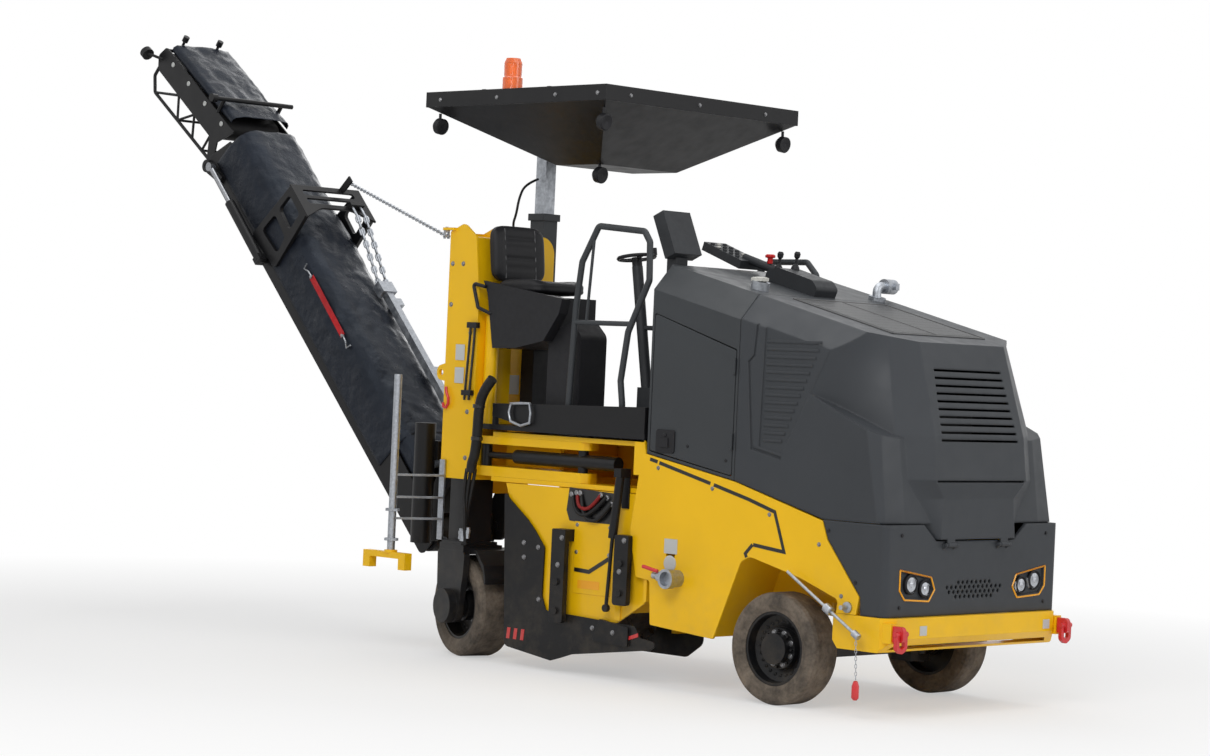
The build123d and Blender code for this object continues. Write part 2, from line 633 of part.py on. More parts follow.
STEERING_AXIS = Vector(-130, 0, 790).normalized()
STEERING_CENTRE = Vector(-1460, -450, 2410) + STEERING_AXIS * (54 + PIVOT_GAP)
ROOF_TILT = degrees(atan2(COVER_TOP_REAR - COVER_TOP_FRONT, HOOD_REAR - COVER_REAR))


def on_roof(x, y, lift=PIVOT_GAP):
    """Frame that lies on the sloping cover roof at x, y."""
    return Pos(x, y, roof_z(x)) * Rot(Y=ROOF_TILT) * Pos(0, 0, lift)


def control_panels():
    """Upright display box behind the cover, steering column with its brace."""
    panel = Pos(-1092, -510, 2590) * Rot(Y=-24) * (Box(84, 230, 270) + Pos(-46, 0, 0) * Box(16, 190, 220))
    foot = block(-1120, COVER_REAR - PIVOT_GAP, -560, -460, 2300, 2400)
    foot += block(-1120, -1050, -560, -460, 2300, 2520)
    column = bar((-1330, -450, 1620), (-1460, -450, 2410), 32)
    column += block(-1370, -1270, -500, -400, DECK_Z + DECK_T + PIVOT_GAP, 1700)
    brace = bar((-1395, -450, 2050), (COVER_REAR - PIVOT_GAP, -450, 2050), 14)
    return [fuse(panel, foot), fuse(column, brace)]


def roof_console():
    """Second operating console: a pad on the roof, its arm and a tilted key panel."""
    pad = slab_y(outline([(-200, 0, 0), (190, 0, 0), (200, 50, 30), (150, 88, 40), (-120, 96, 40),
                          (-200, 60, 30)]), -95, 95)
    body = on_roof(-560, -20) * pad
    body += bar((-700, -20, roof_z(-700) + 60), (-1000, -20, 2490), 26)
    body += Pos(-1100, -20, 2500) * Rot(Y=20) * Box(320, 190, 52)
    return body


def steering_wheel():
    centre = STEERING_CENTRE
    plane = Plane(origin=centre, z_dir=STEERING_AXIS)
    ring = plane.location * turned([(96, 0), (102, -10), (114, -10), (120, 0), (114, 10), (102, 10)])
    spokes = [plane.location * Rot(Z=a) * Pos(56, 0, -6) * Box(96, 20, 9) for a in (90, 210, 330)]
    spokes.append(plane.location * Rot(Z=30) * Pos(108, 0, 24) * Cylinder(17, 42))
    hub = plane.location * Pos(0, 0, -27) * Cylinder(30, 54)
    return fuse(ring, hub, *spokes)


WATER_OUTLET = (-722, 635)


def water_fittings():
    """Filler elbow and cap on top, drain coupling on the right side."""
    base = on_roof(-410, 500)
    elbow = base * Cylinder(52, 20, align=(Align.CENTER, Align.CENTER, Align.MIN))
    top = roof_z(-410) + 84
    elbow += pipe([(-410, 500, roof_z(-410) + 10), (-410, 500, top), (-410, 562, top)], 26, 40)
    elbow += bar((-410, 560, top), (-410, 574, top), 44) + bar((-410, 573, top), (-410, 650, top), 44, 30)
    for x in (-462, -358):
        elbow += block(x - 10, x + 10, 600, 632, top - 20, top + 20)
    ox, oz = WATER_OUTLET
    outlet = bar((ox, -PLATE_HALF - PIVOT_GAP, oz), (ox, -PLATE_HALF - 70, oz), 48)
    outlet += bar((ox, -PLATE_HALF - 60, oz), (ox, -PLATE_HALF - 110, oz), 56, 40)
    outlet += block(ox - 123, ox - 33, -PLATE_HALF - 40, -PLATE_HALF - PIVOT_GAP, oz - 20, oz + 30)
    cap = on_roof(-470, -480) * Cylinder(52, 46, align=(Align.CENTER, Align.CENTER, Align.MIN))
    return [elbow, outlet, cap]


# ---------------------------------------------------------------- platform
SEAT_Y = -520
SEAT_HALF = 230
SEAT_FLOOR = 2212
POD = [(-2425, 2300), (-1745, 2200), (-1770, 2110), (-1890, 1948), (-2124, 1900), (-2325, 1894),
       (-2385, 2225)]


def platform_deck():
    y = PLATE_HALF
    floor = block(DECK_REAR, -1030, -y, y, DECK_Z, DECK_Z + DECK_T)
    edge = sharp([(-2297, 1562), (-2297, 1486), (-1964, DECK_Z + 20), (-1034, DECK_Z + 20),
                  (-1034, SKIRT_TOP)])
    skirt = slab_y(edge, -y, -y + SKIRT_T)
    skirt += block(-2296, -2270, -y + 1, -y + 30, DECK_Z + 1, 1500)
    skirt += block(-1048, -1034, -y, y, DECK_Z, SKIRT_TOP)
    skirt += block(-2200, -1600, y - SKIRT_T, y, DECK_Z, SKIRT_TOP - 60)
    # steps on the left side
    ladder = block(-1500, -1480, y, y + 60, 520, DECK_Z + DECK_T)
    ladder += block(-1140, -1120, y, y + 60, 520, DECK_Z + DECK_T)
    for z in (540, 820, 1110):
        ladder += block(-1500, -1120, y, y + 110, z, z + 30)
    return fuse(floor, skirt, ladder)


def handrails():
    """Right-hand guard loop with its middle rail, and a grab rail at the left-hand steps."""
    y = -735
    low = DECK_Z + DECK_T + PIVOT_GAP
    path = [(-1700, low), (-1700, 1560), (-1672, 2152), (-1636, 2421), (-1511, 2632), (-1141, 2601),
            (-1096, 2540),
            (-1088, 2319), (-1239, 2018), (-1282, 1734), (-1262, 1600), (-1262, low)]
    loop = pipe([(x, y, z) for x, z in path], 19, 30)
    loop += bar((-1676, y, 2065), (-1215, y, 2065), 15)
    loop += bar((-1583, y, 2065), (-1543, y, 2578), 9)
    rail = DECK_Z + DECK_T + 990
    path = [(-1560, low), (-1560, rail), (-1460, rail + 80), (-1160, rail + 80), (-1080, rail), (-1080, low)]
    left = pipe([(x, PLATE_HALF - 40, z) for x, z in path], 19, 30)
    return [loop, left]


def operator_seat():
    """Cushion and backrest as plain closed forms."""
    low = SEAT_FLOOR + PIVOT_GAP
    base = outline([(-2385, low, 20), (-1985, low, 20), (-1985, 2295, 30), (-2015, 2330, 20),
                    (-2385, 2320, 10)])
    cushion = slab_y(base, SEAT_Y - SEAT_HALF, SEAT_Y + SEAT_HALF)
    back = outline([(-2440, 2290, 10), (-2350, 2295, 10), (-2372, 2655, 45), (-2455, 2650, 30)])
    rest = slab_y(back, SEAT_Y - SEAT_HALF + 8, SEAT_Y + SEAT_HALF - 8)
    return [cushion + rest]


def seat_base():
    """Seat pod with its pillar and grab loop, the side console and the dark panel on the rear wall."""
    deck = DECK_Z + DECK_T + PIVOT_GAP
    pod = slab_y(sharp(POD), -PLATE_HALF, -300)
    pod -= block(-1935, -1700, -706, -290, 1850, 2320)
    pod -= block(-2500, -1900, SEAT_Y - SEAT_HALF - 3, -290, SEAT_FLOOR, 2400)
    pod += block(-2438, -2330, -420, -300, deck, 1905)
    loop = [(-2395, -PLATE_HALF - 10, 2262), (-2493, -PLATE_HALF - 20, 2282), (-2443, -PLATE_HALF - 20, 2135),
            (-2350, -PLATE_HALF + 5, 2099)]
    seat = fuse(pod, pipe(loop, 11, 14))
    console = slab_y(outline([(-1925, deck, 0), (-1655, deck, 0), (-1655, 1990, 60), (-1740, 2070, 40),
                              (-1925, 1990, 30)]),
                     -700, -480)
    panel = block(MAST_REAR + MAST_T + PIVOT_GAP, MAST_REAR + 130, -60, 100, REAR_DECK_TOP + 10, 1980)
    return [seat, console, panel]


# ---------------------------------------------------------------- rear frame and legs
LEG_X = (MAST_REAR + MAST_FRONT) / 2
LEG_Y = -REAR_WHEEL_Y - 63
LEFT_LEG_Y = REAR_WHEEL_Y + 44
SLEEVE_R = LEG_R + 19
ARM_LEVELS = [(1120.3, 1180), (1314, 1361.7)]
SWING_Y = -690
SWING_Z = 1247
TRUNNION_X = -1600
COLUMN = (-2412, -700, 43, 2090)                  # x, y, radius, top
EYE_LUG_LIFT = 36


def square_leg(side, low, top):
    """Square upright on the right-hand leg's axis, turned with the wheel."""
    return Pos(LEG_X, LEG_Y, (low + top) / 2) * Rot(Z=REAR_HEADING) * Box(side, side, top - low)


def rear_frame():
    """Right-hand mast, rear wall, arms to the main frame, left leg's sleeve and the conveyor's lugs."""
    y0 = -PLATE_HALF
    cheek = outline([(MAST_REAR, MAST_LOW, 10), (MAST_FRONT, MAST_LOW, 10), (MAST_FRONT, MAST_BEND, 60),
                     (-2506, MAST_TOP, 20), (-2613, MAST_PLATE_TOP, 40), (MAST_REAR, 2597, 10)])
    body = slab_y(cheek, y0, y0 + MAST_T) + slab_y(cheek, MAST_INNER_Y - MAST_T, MAST_INNER_Y)
    wall = outline([(y0 + 1, MAST_LOW, 0), (PLATE_HALF, MAST_LOW, 0), (PLATE_HALF, REAR_DECK_TOP, 40),
                    (WALL_END, REAR_DECK_TOP, 30), (WALL_END, 2612, 110), (y0 + 1, 2590, 0)])
    body += slab_x(wall, MAST_REAR, MAST_REAR + MAST_T)
    body += block(MAST_FRONT - MAST_T, MAST_FRONT, y0 + 1, MAST_INNER_Y - 1, MAST_LOW, MAST_BEND - 10)
    cap = sharp([(MAST_FRONT - MAST_T, MAST_BEND - 30), (MAST_FRONT - 2, MAST_BEND - 30),
                 (-2508, MAST_TOP - 10),
                 (-2520, MAST_TOP - 2), (MAST_REAR + 2, 2580), (MAST_REAR + 2, 2566), (-2524, MAST_TOP - 24)])
    body += slab_y(cap, y0 + 1, MAST_INNER_Y - 1)
    # guides of the square right-hand leg
    for z0, z1 in ((MAST_LOW + 10, MAST_LOW + 50), (1700, 1740)):
        guide = block(MAST_REAR + 1, MAST_FRONT - 1, y0 + 1, MAST_INNER_Y - 1, z0, z1)
        body += guide - square_leg(LEG_SIDE + 2 * PIVOT_GAP, z0 - 5, z1 + 5)
    # sleeve of the round left-hand leg
    low = LEG_FOOT_Z + 20 + LEG_TRAVEL + RUN_GAP
    body += Pos(LEG_X, LEFT_LEG_Y, (low + REAR_DECK_TOP) / 2) * Cylinder(SLEEVE_R, REAR_DECK_TOP - low)
    for z0, z1 in ARM_LEVELS:
        plan = outline([(MAST_FRONT - 8, -735, 0), (TRUNNION_X + 20, -735, 40), (TRUNNION_X + 60, -690, 30),
                        (TRUNNION_X + 40, -600, 40), (-1800, -500, 40), (MAST_FRONT - 8, -500, 0)])
        body += slab_z(plan, z0, z1)
    for side0, side1 in ((500, 520), (740, 765)):
        body += block(LEG_X + 60, -2330, side0, side1, 1100, REAR_DECK_TOP)
    body -= Pos(LEG_X, LEFT_LEG_Y, 1200) * Cylinder(LEG_R + PIVOT_GAP, 2200)
    for z in (1010, 1330):
        lug = outline([(MAST_REAR + 5, BOOM_Y - 150, 0), (SLEW_X - 55, BOOM_Y - 60, 50),
                       (SLEW_X - 55, BOOM_Y + 60, 50),
                       (MAST_REAR + 5, BOOM_Y + 150, 0)])
        body += slab_z(lug, z, z + 36)
    body += block(MAST_REAR, MAST_REAR + 16, BOOM_Y - 160, BOOM_Y + 160, 990, 1110)
    # lashing eye, and the lug that holds the stay's shackle
    eye = outline([(MAST_REAR + 5, 1680, 0), (MAST_REAR - 70, 1690, 40), (MAST_REAR - 70, 1770, 40),
                   (MAST_REAR + 5, 1790, 0)])
    body += slab_y(eye, y0, y0 + 24)
    body -= bar((MAST_REAR - 34, y0 - 5, 1732), (MAST_REAR - 34, y0 + 40, 1732), 20)
    ex, ey, ez = STAY_EYE
    lug = outline([(ex - 22, ey - 24, 20), (MAST_REAR + 50, ey - 24, 10), (MAST_REAR + 50, ey + 24, 10),
                   (ex - 22, ey + 24, 20)])
    body += slab_z(lug, ez + EYE_LUG_LIFT, ez + EYE_LUG_LIFT + 16)
    body -= Pos(ex, ey, ez + EYE_LUG_LIFT) * Cylinder(10, 60)
    cx, cy, cr, ct = COLUMN
    deck = DECK_Z + DECK_T + PIVOT_GAP
    column = Pos(cx, cy, (deck + ct) / 2) * Cylinder(cr, ct - deck)
    return [body, column]


def swing_cylinder():
    """Cylinder that swings the right-hand rear leg, with its trunnion between the arms."""
    clevis = MAST_FRONT + 36
    body = bar((-2160, SWING_Y, SWING_Z), (TRUNNION_X + 288, SWING_Y, SWING_Z), 42)
    body += bar((clevis, SWING_Y, SWING_Z), (-2155, SWING_Y, SWING_Z), 20)
    gap = ARM_LEVELS[1][0] - ARM_LEVELS[0][1] - 2 * PIVOT_GAP
    for x, r in ((clevis, 34), (TRUNNION_X, 30)):
        body += Pos(x, SWING_Y, SWING_Z) * Cylinder(r, gap)
    return body


def leg_fork():
    """One-sided fork about the wheel's own axis, its arm on the -y side."""
    out = -REAR_TYRE_W / 2 - 16
    arm = outline([(-170, 650, 30), (170, 650, 30), (160, 520, 40), (100, 215, 60), (-100, 215, 60),
                   (-160, 420, 30)])
    fork = slab_y(arm, out - 40, out)
    fork += block(-150, 150, out - 39, -out - 40, 634, LEG_FOOT_Z - PIVOT_GAP)
    fork += bar((0, out - 92, WHEEL_R), (0, out + 1, WHEEL_R), 105)
    fork += bar((0, out - 1, WHEEL_R), (0, -REAR_TYRE_W / 2 + 36 - PIVOT_GAP, WHEEL_R), 70)
    return fork


def fender():
    """Bent guard over the front quarter of the right-hand rear wheel."""
    half = REAR_TYRE_W / 2 + 8
    cap = sharp([(120, 634), (120, 676), (230, 664), (322, 580), (350, 500), (352, 468), (338, 466),
                 (322, 540),
                 (220, 640)])
    return slab_y(cap, -half, half)


def right_leg():
    place = Pos(REAR_X, -REAR_WHEEL_Y, 0) * Rot(Z=REAR_HEADING)
    fork = place * (leg_fork() + fender())
    tube = square_leg(LEG_SIDE, LEG_FOOT_Z, 1850) + square_leg(250, LEG_FOOT_Z, LEG_FOOT_Z + 20)
    return tube, fork


def left_leg():
    fork = mirror_y(Pos(REAR_X, -REAR_WHEEL_Y, 0) * leg_fork())
    top = REAR_DECK_TOP - 20
    tube = Pos(LEG_X, LEFT_LEG_Y, (LEG_FOOT_Z + top) / 2) * Cylinder(LEG_R, top - LEG_FOOT_Z)
    tube += Pos(LEG_X, LEFT_LEG_Y, LEG_FOOT_Z + 10) * Cylinder(LEG_R + 22, 20)
    return tube, fork


# ---------------------------------------------------------------- milling drum and its housing
DRUM_RIGHT = DRUM_Y - DRUM_WIDTH / 2
DRUM_LEFT = DRUM_Y + DRUM_WIDTH / 2
WALL_RIGHT = DRUM_RIGHT - HOUSING_GAP
WALL_LEFT = DRUM_LEFT + HOUSING_GAP
PROTECTOR_IN = WALL_RIGHT - HOUSING_T - PROTECTOR_GAP
PROTECTOR_OUT = PROTECTOR_IN - PROTECTOR_T
PROTECTOR_LEFT_Y = WALL_LEFT + HOUSING_T + 70
POST_OUT = PROTECTOR_OUT - 60
POST_IN = PROTECTOR_OUT - 24
STRUT_Y = POST_OUT + 20


def milling_drum():
    """Drum shell with tool holders and conical tools in two helices that meet at the ejector."""
    shell = bar((0, -DRUM_WIDTH / 2 + 18, 0), (0, DRUM_WIDTH / 2 - 18, 0), DRUM_SHELL_R, DRUM_SHELL_R - 30)
    shell += bar((0, -10, 0), (0, 10, 0), DRUM_SHELL_R - 20)
    shell += bar((0, -120, 0), (0, DRUM_WIDTH / 2 + HOUSING_GAP - PIVOT_GAP, 0), 90)
    tools = []
    rows = 14
    for k in range(rows):
        y = -DRUM_WIDTH / 2 + 28 + k * (DRUM_WIDTH - 56) / (rows - 1)
        for start in (0, 180):
            angle = start + k * 27
            holder = Pos(0, 0, DRUM_SHELL_R + 12) * Box(64, 34, 44)
            pick = Pos(0, 0, -2) * extrude(RegularPolygon(13, 6), 40, taper=12)
            tip = Pos(22, 0, DRUM_SHELL_R + 30) * Rot(Y=48) * pick
            tools.append(Rot(Y=angle) * Pos(0, y, 0) * (holder + tip))
    drum = fuse(shell, *tools)
    return Pos(DRUM_X, DRUM_Y, DRUM_Z) * drum


def drum_housing():
    inner_r = DRUM_TIP_R + 28
    outer_r = inner_r + HOUSING_T
    wall = outline([(-2190, 1088, 0), (-1004, 1088, 0), (-1004, 470, 30), (-1230, 330, 40), (-1900, 330, 60)])
    right = slab_y(wall, WALL_RIGHT - HOUSING_T, WALL_RIGHT)
    left = slab_y(wall, WALL_LEFT, WALL_LEFT + HOUSING_T)
    ring = Circle(outer_r) - Circle(inner_r)
    keep = sharp([(-600, 40), (-450, 600), (450, 600), (600, -60), (inner_r - 60, -60), (-inner_r + 60, 40)])
    arc = Pos(DRUM_X, 0, DRUM_Z) * slab_y(ring & keep, WALL_RIGHT - 1, WALL_LEFT + 1)
    body = fuse(right, left, arc)
    # bearing seat of the drum in the left wall
    body += bar((DRUM_X, WALL_LEFT, DRUM_Z), (DRUM_X, WALL_LEFT + 60, DRUM_Z), 150)
    # chute from the discharge opening to the foot of the conveyor
    y0, y1 = -330, -40
    floor = sharp([(-1990, 250), (-1990, 262), (-2780, 330), (-2780, 318)])
    chute = slab_y(floor, y0, y1)
    cheek = sharp([(-1925, 340), (-1990, 250), (-2780, 318), (-2780, 560), (-2300, 700), (-1960, 640)])
    chute += slab_y(cheek, y0, y0 + 12) + slab_y(cheek, y1 - 12, y1)
    chute += block(-1960, -1930, y0, y1, 620, 1095)
    # service cover and runner strips on the right wall, rails of the left-hand protector
    outside = WALL_RIGHT - HOUSING_T
    body += block(-1590, -1284, outside - 4, outside + 1, 480, 900)
    for x in (-1700, -1230):
        body += block(x, x + 40, PROTECTOR_IN + PIVOT_GAP, outside + 1, 350, 770)
    for x in (-1780, -1290):
        body += block(x, x + 40, WALL_LEFT + 1, PROTECTOR_LEFT_Y - PIVOT_GAP, 250, 900)
    return [body + chute]




def edge_protector(side):
    if side < 0:
        # the front end drops away so that it stays under the cross wall at full lift
        lifted_under = CROSS_WALL_LOW - PROTECTOR_TRAVEL - 12
        face = outline([(-2182, 1040, 10), (-2132, 993, 10), (-1974, 882, 20), (-1907, 821, 20),
                        (-1823, 728, 20),
                        (-1828, 440, 20), (-1790, 357, 20), (-1062, 332, 20), (-1014, lifted_under, 14),
                        (-860, 250, 20), (-934, 205, 20),
                        (-1561, 120, 20), (-1659, 88, 10), (-1735, 66, 10), (-2132, 117, 40)])
        body = slab_y(face, PROTECTOR_OUT, PROTECTOR_IN)
        # skid shoe along the lower edge
        shoe = outline([(-1383, 218, 10), (-1100, 209, 10), (-1100, 320, 10), (-1330, 350, 10)])
        return body + slab_y(shoe, PROTECTOR_OUT - 16, PROTECTOR_OUT + 1)
    y = PROTECTOR_LEFT_Y
    face = outline([(-1905, 200, 40), (-1905, 620, 30), (-1150, 620, 30), (-1110, 200, 60), (-1240, 110, 60),
                    (-1860, 110, 40)])
    return slab_y(face, y, y + PROTECTOR_T)


def protector_guides():
    """Posts that keep the right-hand side plate in, and the lift strut."""
    outside = WALL_RIGHT - HOUSING_T - PIVOT_GAP
    pieces = []
    for x0, x1, back, low in ((-1705, -1595, -1595, 300), (-1194, -1084, -1118, 446)):
        post = slab_y(outline([(x0, low, 20), (x1, low, 20), (x1, 850, 10), (x0, 850, 10)]), POST_OUT,
                      POST_IN)
        post += block(x0, back, POST_IN - 1, outside, 780, 850)
        for z in (low + 70, low + 240):
            post += bar(((x0 + x1) / 2, POST_OUT - 12, z), ((x0 + x1) / 2, POST_OUT + 1, z), 20)
        pieces.append(post)
    strut = bar((-1187, STRUT_Y, 1195), (-1230, STRUT_Y, 827), 26)
    strut += bar((-1230, STRUT_Y, 830), (-1257, STRUT_Y, 430), 11)
    strut += bar((-1258, STRUT_Y - 12, 420), (-1258, STRUT_Y + 12, 420), 22)
    strut += block(-1215, -1160, outside - 10, outside, 1000, 1230)
    strut += block(-1215, -1160, STRUT_Y - 26, outside, 1180, 1230)
    pieces.append(strut)
    return pieces


# ---------------------------------------------------------------- sensor holder
def sensor_holder():
    """Galvanised rod on three flat bars, with its foot, carried by a tab on the right-hand leg's flange."""
    x, y = -2800, -1100
    back = -PLATE_HALF - RUN_GAP
    rod = bar((x, y, 640), (x, y, 1710), 24)
    tab = block(-2725, -2680, back - 12, LEG_Y - 112, LEG_FOOT_Z + 20 + PIVOT_GAP, LEG_FOOT_Z + 34)
    tab += block(-2725, -2680, back - 12, back, LEG_FOOT_Z + 20 + PIVOT_GAP, 1200)
    strap = sharp([(-2724, back - 6), (-2681, back - 6), (x + 22, y), (x - 22, y)])
    straps = [slab_z(strap, z, z + 12) for z in (830, 960, 1095)]
    nuts = [Pos(x, y, z) * extrude(RegularPolygon(44, 6), 16) for z in (700, 880)]
    foot = block(x - 220, x + 160, y - 28, y + 28, 596, 632)
    for end in (x - 220, x + 100):
        foot += block(end, end + 60, y - 28, y + 28, 530, 600)
    foot += Pos(x, y, 636) * Cylinder(40, 16)
    return fuse(rod, tab, *straps, *nuts, foot)


# ---------------------------------------------------------------- canopy
def canopy_sleeve():
    side = POST_SIDE + 2 * (SLEEVE_T + PIVOT_GAP)
    bore = POST_SIDE + 2 * PIVOT_GAP
    body = Pos(POST_X, POST_Y, 2380) * (Box(side, side, 720) - Box(bore, bore, 800))
    collar_bore = POST_SIDE + 1
    body += Pos(POST_X, POST_Y, 2740) * (Box(side + 24, side + 24, 44) - Box(collar_bore, collar_bore, 90))
    edge = POST_X + side / 2
    body += block(edge - 1, MAST_REAR - PIVOT_GAP, POST_Y - side / 2, WALL_END - 1, 2060, 2470)
    return body


def canopy_post():
    post = Pos(POST_X, POST_Y, (2050 + 3225) / 2) * Box(POST_SIDE, POST_SIDE, 3225 - 2050)
    return post - Pos(POST_X, POST_Y, 2300) * Box(POST_SIDE - 16, POST_SIDE - 16, 700)


def canopy_roof():
    (x0, x1), (y0, y1) = CANOPY_X, CANOPY_Y
    (fx0, fy0), (fx1, fy1) = CANOPY_FOOT
    top = block(x0, x1, y0, y1, CANOPY_EDGE, CANOPY_TOP)
    upper = Plane.XY.offset(CANOPY_EDGE) * sharp([(x0 + 10, y0 + 10), (x1 - 10, y0 + 10),
                                                  (x1 - 10, y1 - 10), (x0 + 10, y1 - 10)])
    lower = Plane.XY.offset(CANOPY_LOW) * sharp([(fx0, fy0), (fx1, fy0), (fx1, fy1), (fx0, fy1)])
    pyramid = loft([upper, lower], ruled=True)
    body = top + pyramid
    body -= block(POST_X - POST_SIDE / 2 - 1, POST_X + POST_SIDE / 2 + 1, POST_Y - POST_SIDE / 2 - 1,
                  POST_Y + POST_SIDE / 2 + 1, 2900, 3225.3)
    return body


CANOPY_FOOT = [(-2330, -300), (-1950, 380)]      # low corner and high corner of the underside's flat
CANOPY_LAMPS = [(-2910, -750), (-1500, -750), (-1500, 850), (-2910, 850), (-1975, -280)]


def underside_z(x, y):
    """Height of the canopy's sloping underside above a point."""
    (x0, x1), (y0, y1) = CANOPY_X, CANOPY_Y
    (fx0, fy0), (fx1, fy1) = CANOPY_FOOT
    depth = min((x - x0 - 10) / (fx0 - x0 - 10), (x1 - 10 - x) / (x1 - 10 - fx1),
                (y - y0 - 10) / (fy0 - y0 - 10), (y1 - 10 - y) / (y1 - 10 - fy1), 1)
    return CANOPY_EDGE - depth * (CANOPY_EDGE - CANOPY_LOW)


def canopy_lamps():
    """Round work lamps on short stalks."""
    lamps = []
    for x, y in CANOPY_LAMPS:
        seat = min(underside_z(x - s, y - t) for s in (-9, 0, 9) for t in (-9, 0, 9))
        z = min(underside_z(x - s, y - t) for s in (-40, 0, 40) for t in (-40, 0, 40)) - 62
        face = spin([(0, -34), (30, -34), (50, -10), (50, 26), (42, 30), (0, 24)],
                    Plane(origin=(x, y, z), z_dir=(1, 0, -0.2)))
        stalk = bar((x, y, z), (x, y, seat - PIVOT_GAP), 9)
        lamps.append(face + stalk)
    return lamps


def beacon():
    x, y = -2290, -740
    return spin([(0, 0.3), (62, 0.3), (62, 70), (54, 78), (56, 160), (44, 188), (0, 192)],
                Plane(origin=(x, y, CANOPY_TOP), z_dir=(0, 0, 1)))


# ---------------------------------------------------------------- conveyor
BOOM_PLANE = Plane(origin=(BOOM_PIVOT[0], BOOM_Y, BOOM_PIVOT[1]),
                   x_dir=(-cos(radians(BOOM_ANGLE)), 0, sin(radians(BOOM_ANGLE))),
                   z_dir=(sin(radians(BOOM_ANGLE)), 0, cos(radians(BOOM_ANGLE))))
FOLD_POINT = BOOM_PLANE.from_local_coords(Vector(FOLD_U, 0, BOOM_LOW))
STAY_EYE = (MAST_REAR - 33, -PLATE_HALF - 4, 2568)
STAY_HOLD = (2585, -150, 450)                     # on the boom: out, across, up
STAY_END = BOOM_PLANE.from_local_coords(Vector(*STAY_HOLD))
TIP_PLANE = Plane(origin=FOLD_POINT, x_dir=(-cos(radians(TIP_ANGLE)), 0, sin(radians(TIP_ANGLE))),
                  z_dir=(sin(radians(TIP_ANGLE)), 0, cos(radians(TIP_ANGLE))))


def belt(u0, u1, top, low, half):
    """Closed belt loop round two pulleys, with cleats on its carrying side."""
    r = (top - low) / 2
    mid = (top + low) / 2
    outer = slab_y(SlotCenterToCenter(u1 - u0, 2 * r), -half, half)
    inner = slab_y(SlotCenterToCenter(u1 - u0, 2 * (r - BELT_T)), -half - 5, half + 5)
    loop = Pos((u0 + u1) / 2, 0, mid) * (outer - inner)
    for u in range(int(u0) + 100, int(u1) - 60, 240):
        loop += block(u, u + 14, -half + 20, half - 20, top - 1, top + 28)
    return loop


def boom_lower():
    """Side plates, pulleys, rails, collar and fold cylinder of the lower conveyor section."""
    h, t = BOOM_HALF, BOOM_PLATE_T
    plate = outline([(BOOM_TAIL, BOOM_LOW + 40, 40), (FOLD_U - 60, BOOM_LOW, 0),
                     (FOLD_U + 40, BOOM_LOW - 30, 30),
                     (FOLD_U + 40, BOOM_LOW + 60, 30), (FOLD_U - 30, BOOM_SIDE_TOP, 0),
                     (60, BOOM_SIDE_TOP, 60),
                     (BOOM_TAIL, -60, 30)])
    body = slab_y(plate, -h, -h + t) + slab_y(plate, h - t, h)
    for u in (0, 3240):
        body += bar((u, -h + 1, -98), (u, h - 1, -98), 24)
        body += bar((u, -h + 26, -98), (u, h - 26, -98), PULLEY_R - PIVOT_GAP)
    for u in range(420, 3200, 460):
        low = BOOM_LOW + 40 * (FOLD_U - 60 - u) / (FOLD_U - 60 - BOOM_TAIL) + 1
        body += block(u, u + 50, -h + 1, h - 1, low, low + 10)
    # luff pivot trunnions
    body += bar((0, -h - 24, 0), (0, -h + 1, 0), 34) + bar((0, h - 1, 0), (0, h + 24, 0), 34)
    # collar frame with rounded windows
    c0, c1, ch, ct = 2300, 2640, 300, COLLAR_TOP
    cheek = outline([(c0, -120, 30), (c1, -160, 30), (c1 - 20, ct, 20), (c0 + 60, ct, 20)])
    cheek -= outline([(c0 + 60, -40, 30), (c1 - 50, -60, 30), (c1 - 60, 110, 30), (c0 + 90, 90, 30)])
    cheek -= outline([(c0 + 95, 150, 30), (c1 - 60, 160, 30), (c1 - 60, 300, 30), (c0 + 110, 300, 30)])
    body += slab_y(cheek, -ch, -h) + slab_y(cheek, h, ch)
    top = outline([(c0 + 40, -ch, 0), (c1 - 10, -ch, 0), (c1 - 10, ch, 0), (c0 + 40, ch, 0),
                   (c0 + 130, 130, 120),
                   (c0 + 130, -130, 120)])
    for u in (c0 + 165, c0 + 240):
        top -= outline([(u, -225, 20), (u, 225, 20), (u + 48, 225, 20), (u + 48, -225, 20)])
    body += slab_z(top, ct - 14, ct)
    eu, ey, ew = STAY_HOLD
    body += block(eu - 6, c1 - 12, ey + 12.3, ey + 24, ct - 1, ew + 30)
    body += block(HOIST_LUG_U, HOIST_LUG_U + 30, HOIST_Y - 60, HOIST_Y + 60, ct - 1, ct + 44)
    # fold cylinder barrel along the right side (local +y is the machine's right)
    body += bar((2420, h + 60, -170), (2940, h + 60, -170), 34, 19.3)
    body += bar((2420, h - 1, -170), (2420, h + 60, -170), 22)
    body += block(2400, 2450, h + 28, h + 92, -202, -138)
    # fold hinge ears, bored for the tip's pin
    for y in (-h - 22, h):
        body += Pos(FOLD_U, y + 11, BOOM_LOW) * Rot(X=90) * Cylinder(44, 22)
        body += slab_y(outline([(FOLD_U - 200, BOOM_LOW + 30, 10), (FOLD_U, BOOM_LOW - 40, 20),
                                (FOLD_U + 20, BOOM_LOW + 40, 10),
                                (FOLD_U - 180, BOOM_LOW + 80, 10)]), y, y + 22)
    body -= bar((FOLD_U, -h - 40, BOOM_LOW), (FOLD_U, h + 40, BOOM_LOW), 18 + PIVOT_GAP)
    return BOOM_PLANE.location * body


def fold_rod():
    body = bar((2620, BOOM_HALF + 60, -170), (3260, BOOM_HALF + 60, -170), 19)
    body += Pos(3275, BOOM_HALF + 60, -170) * Rot(X=90) * Cylinder(30, 40)
    return BOOM_PLANE.location * body


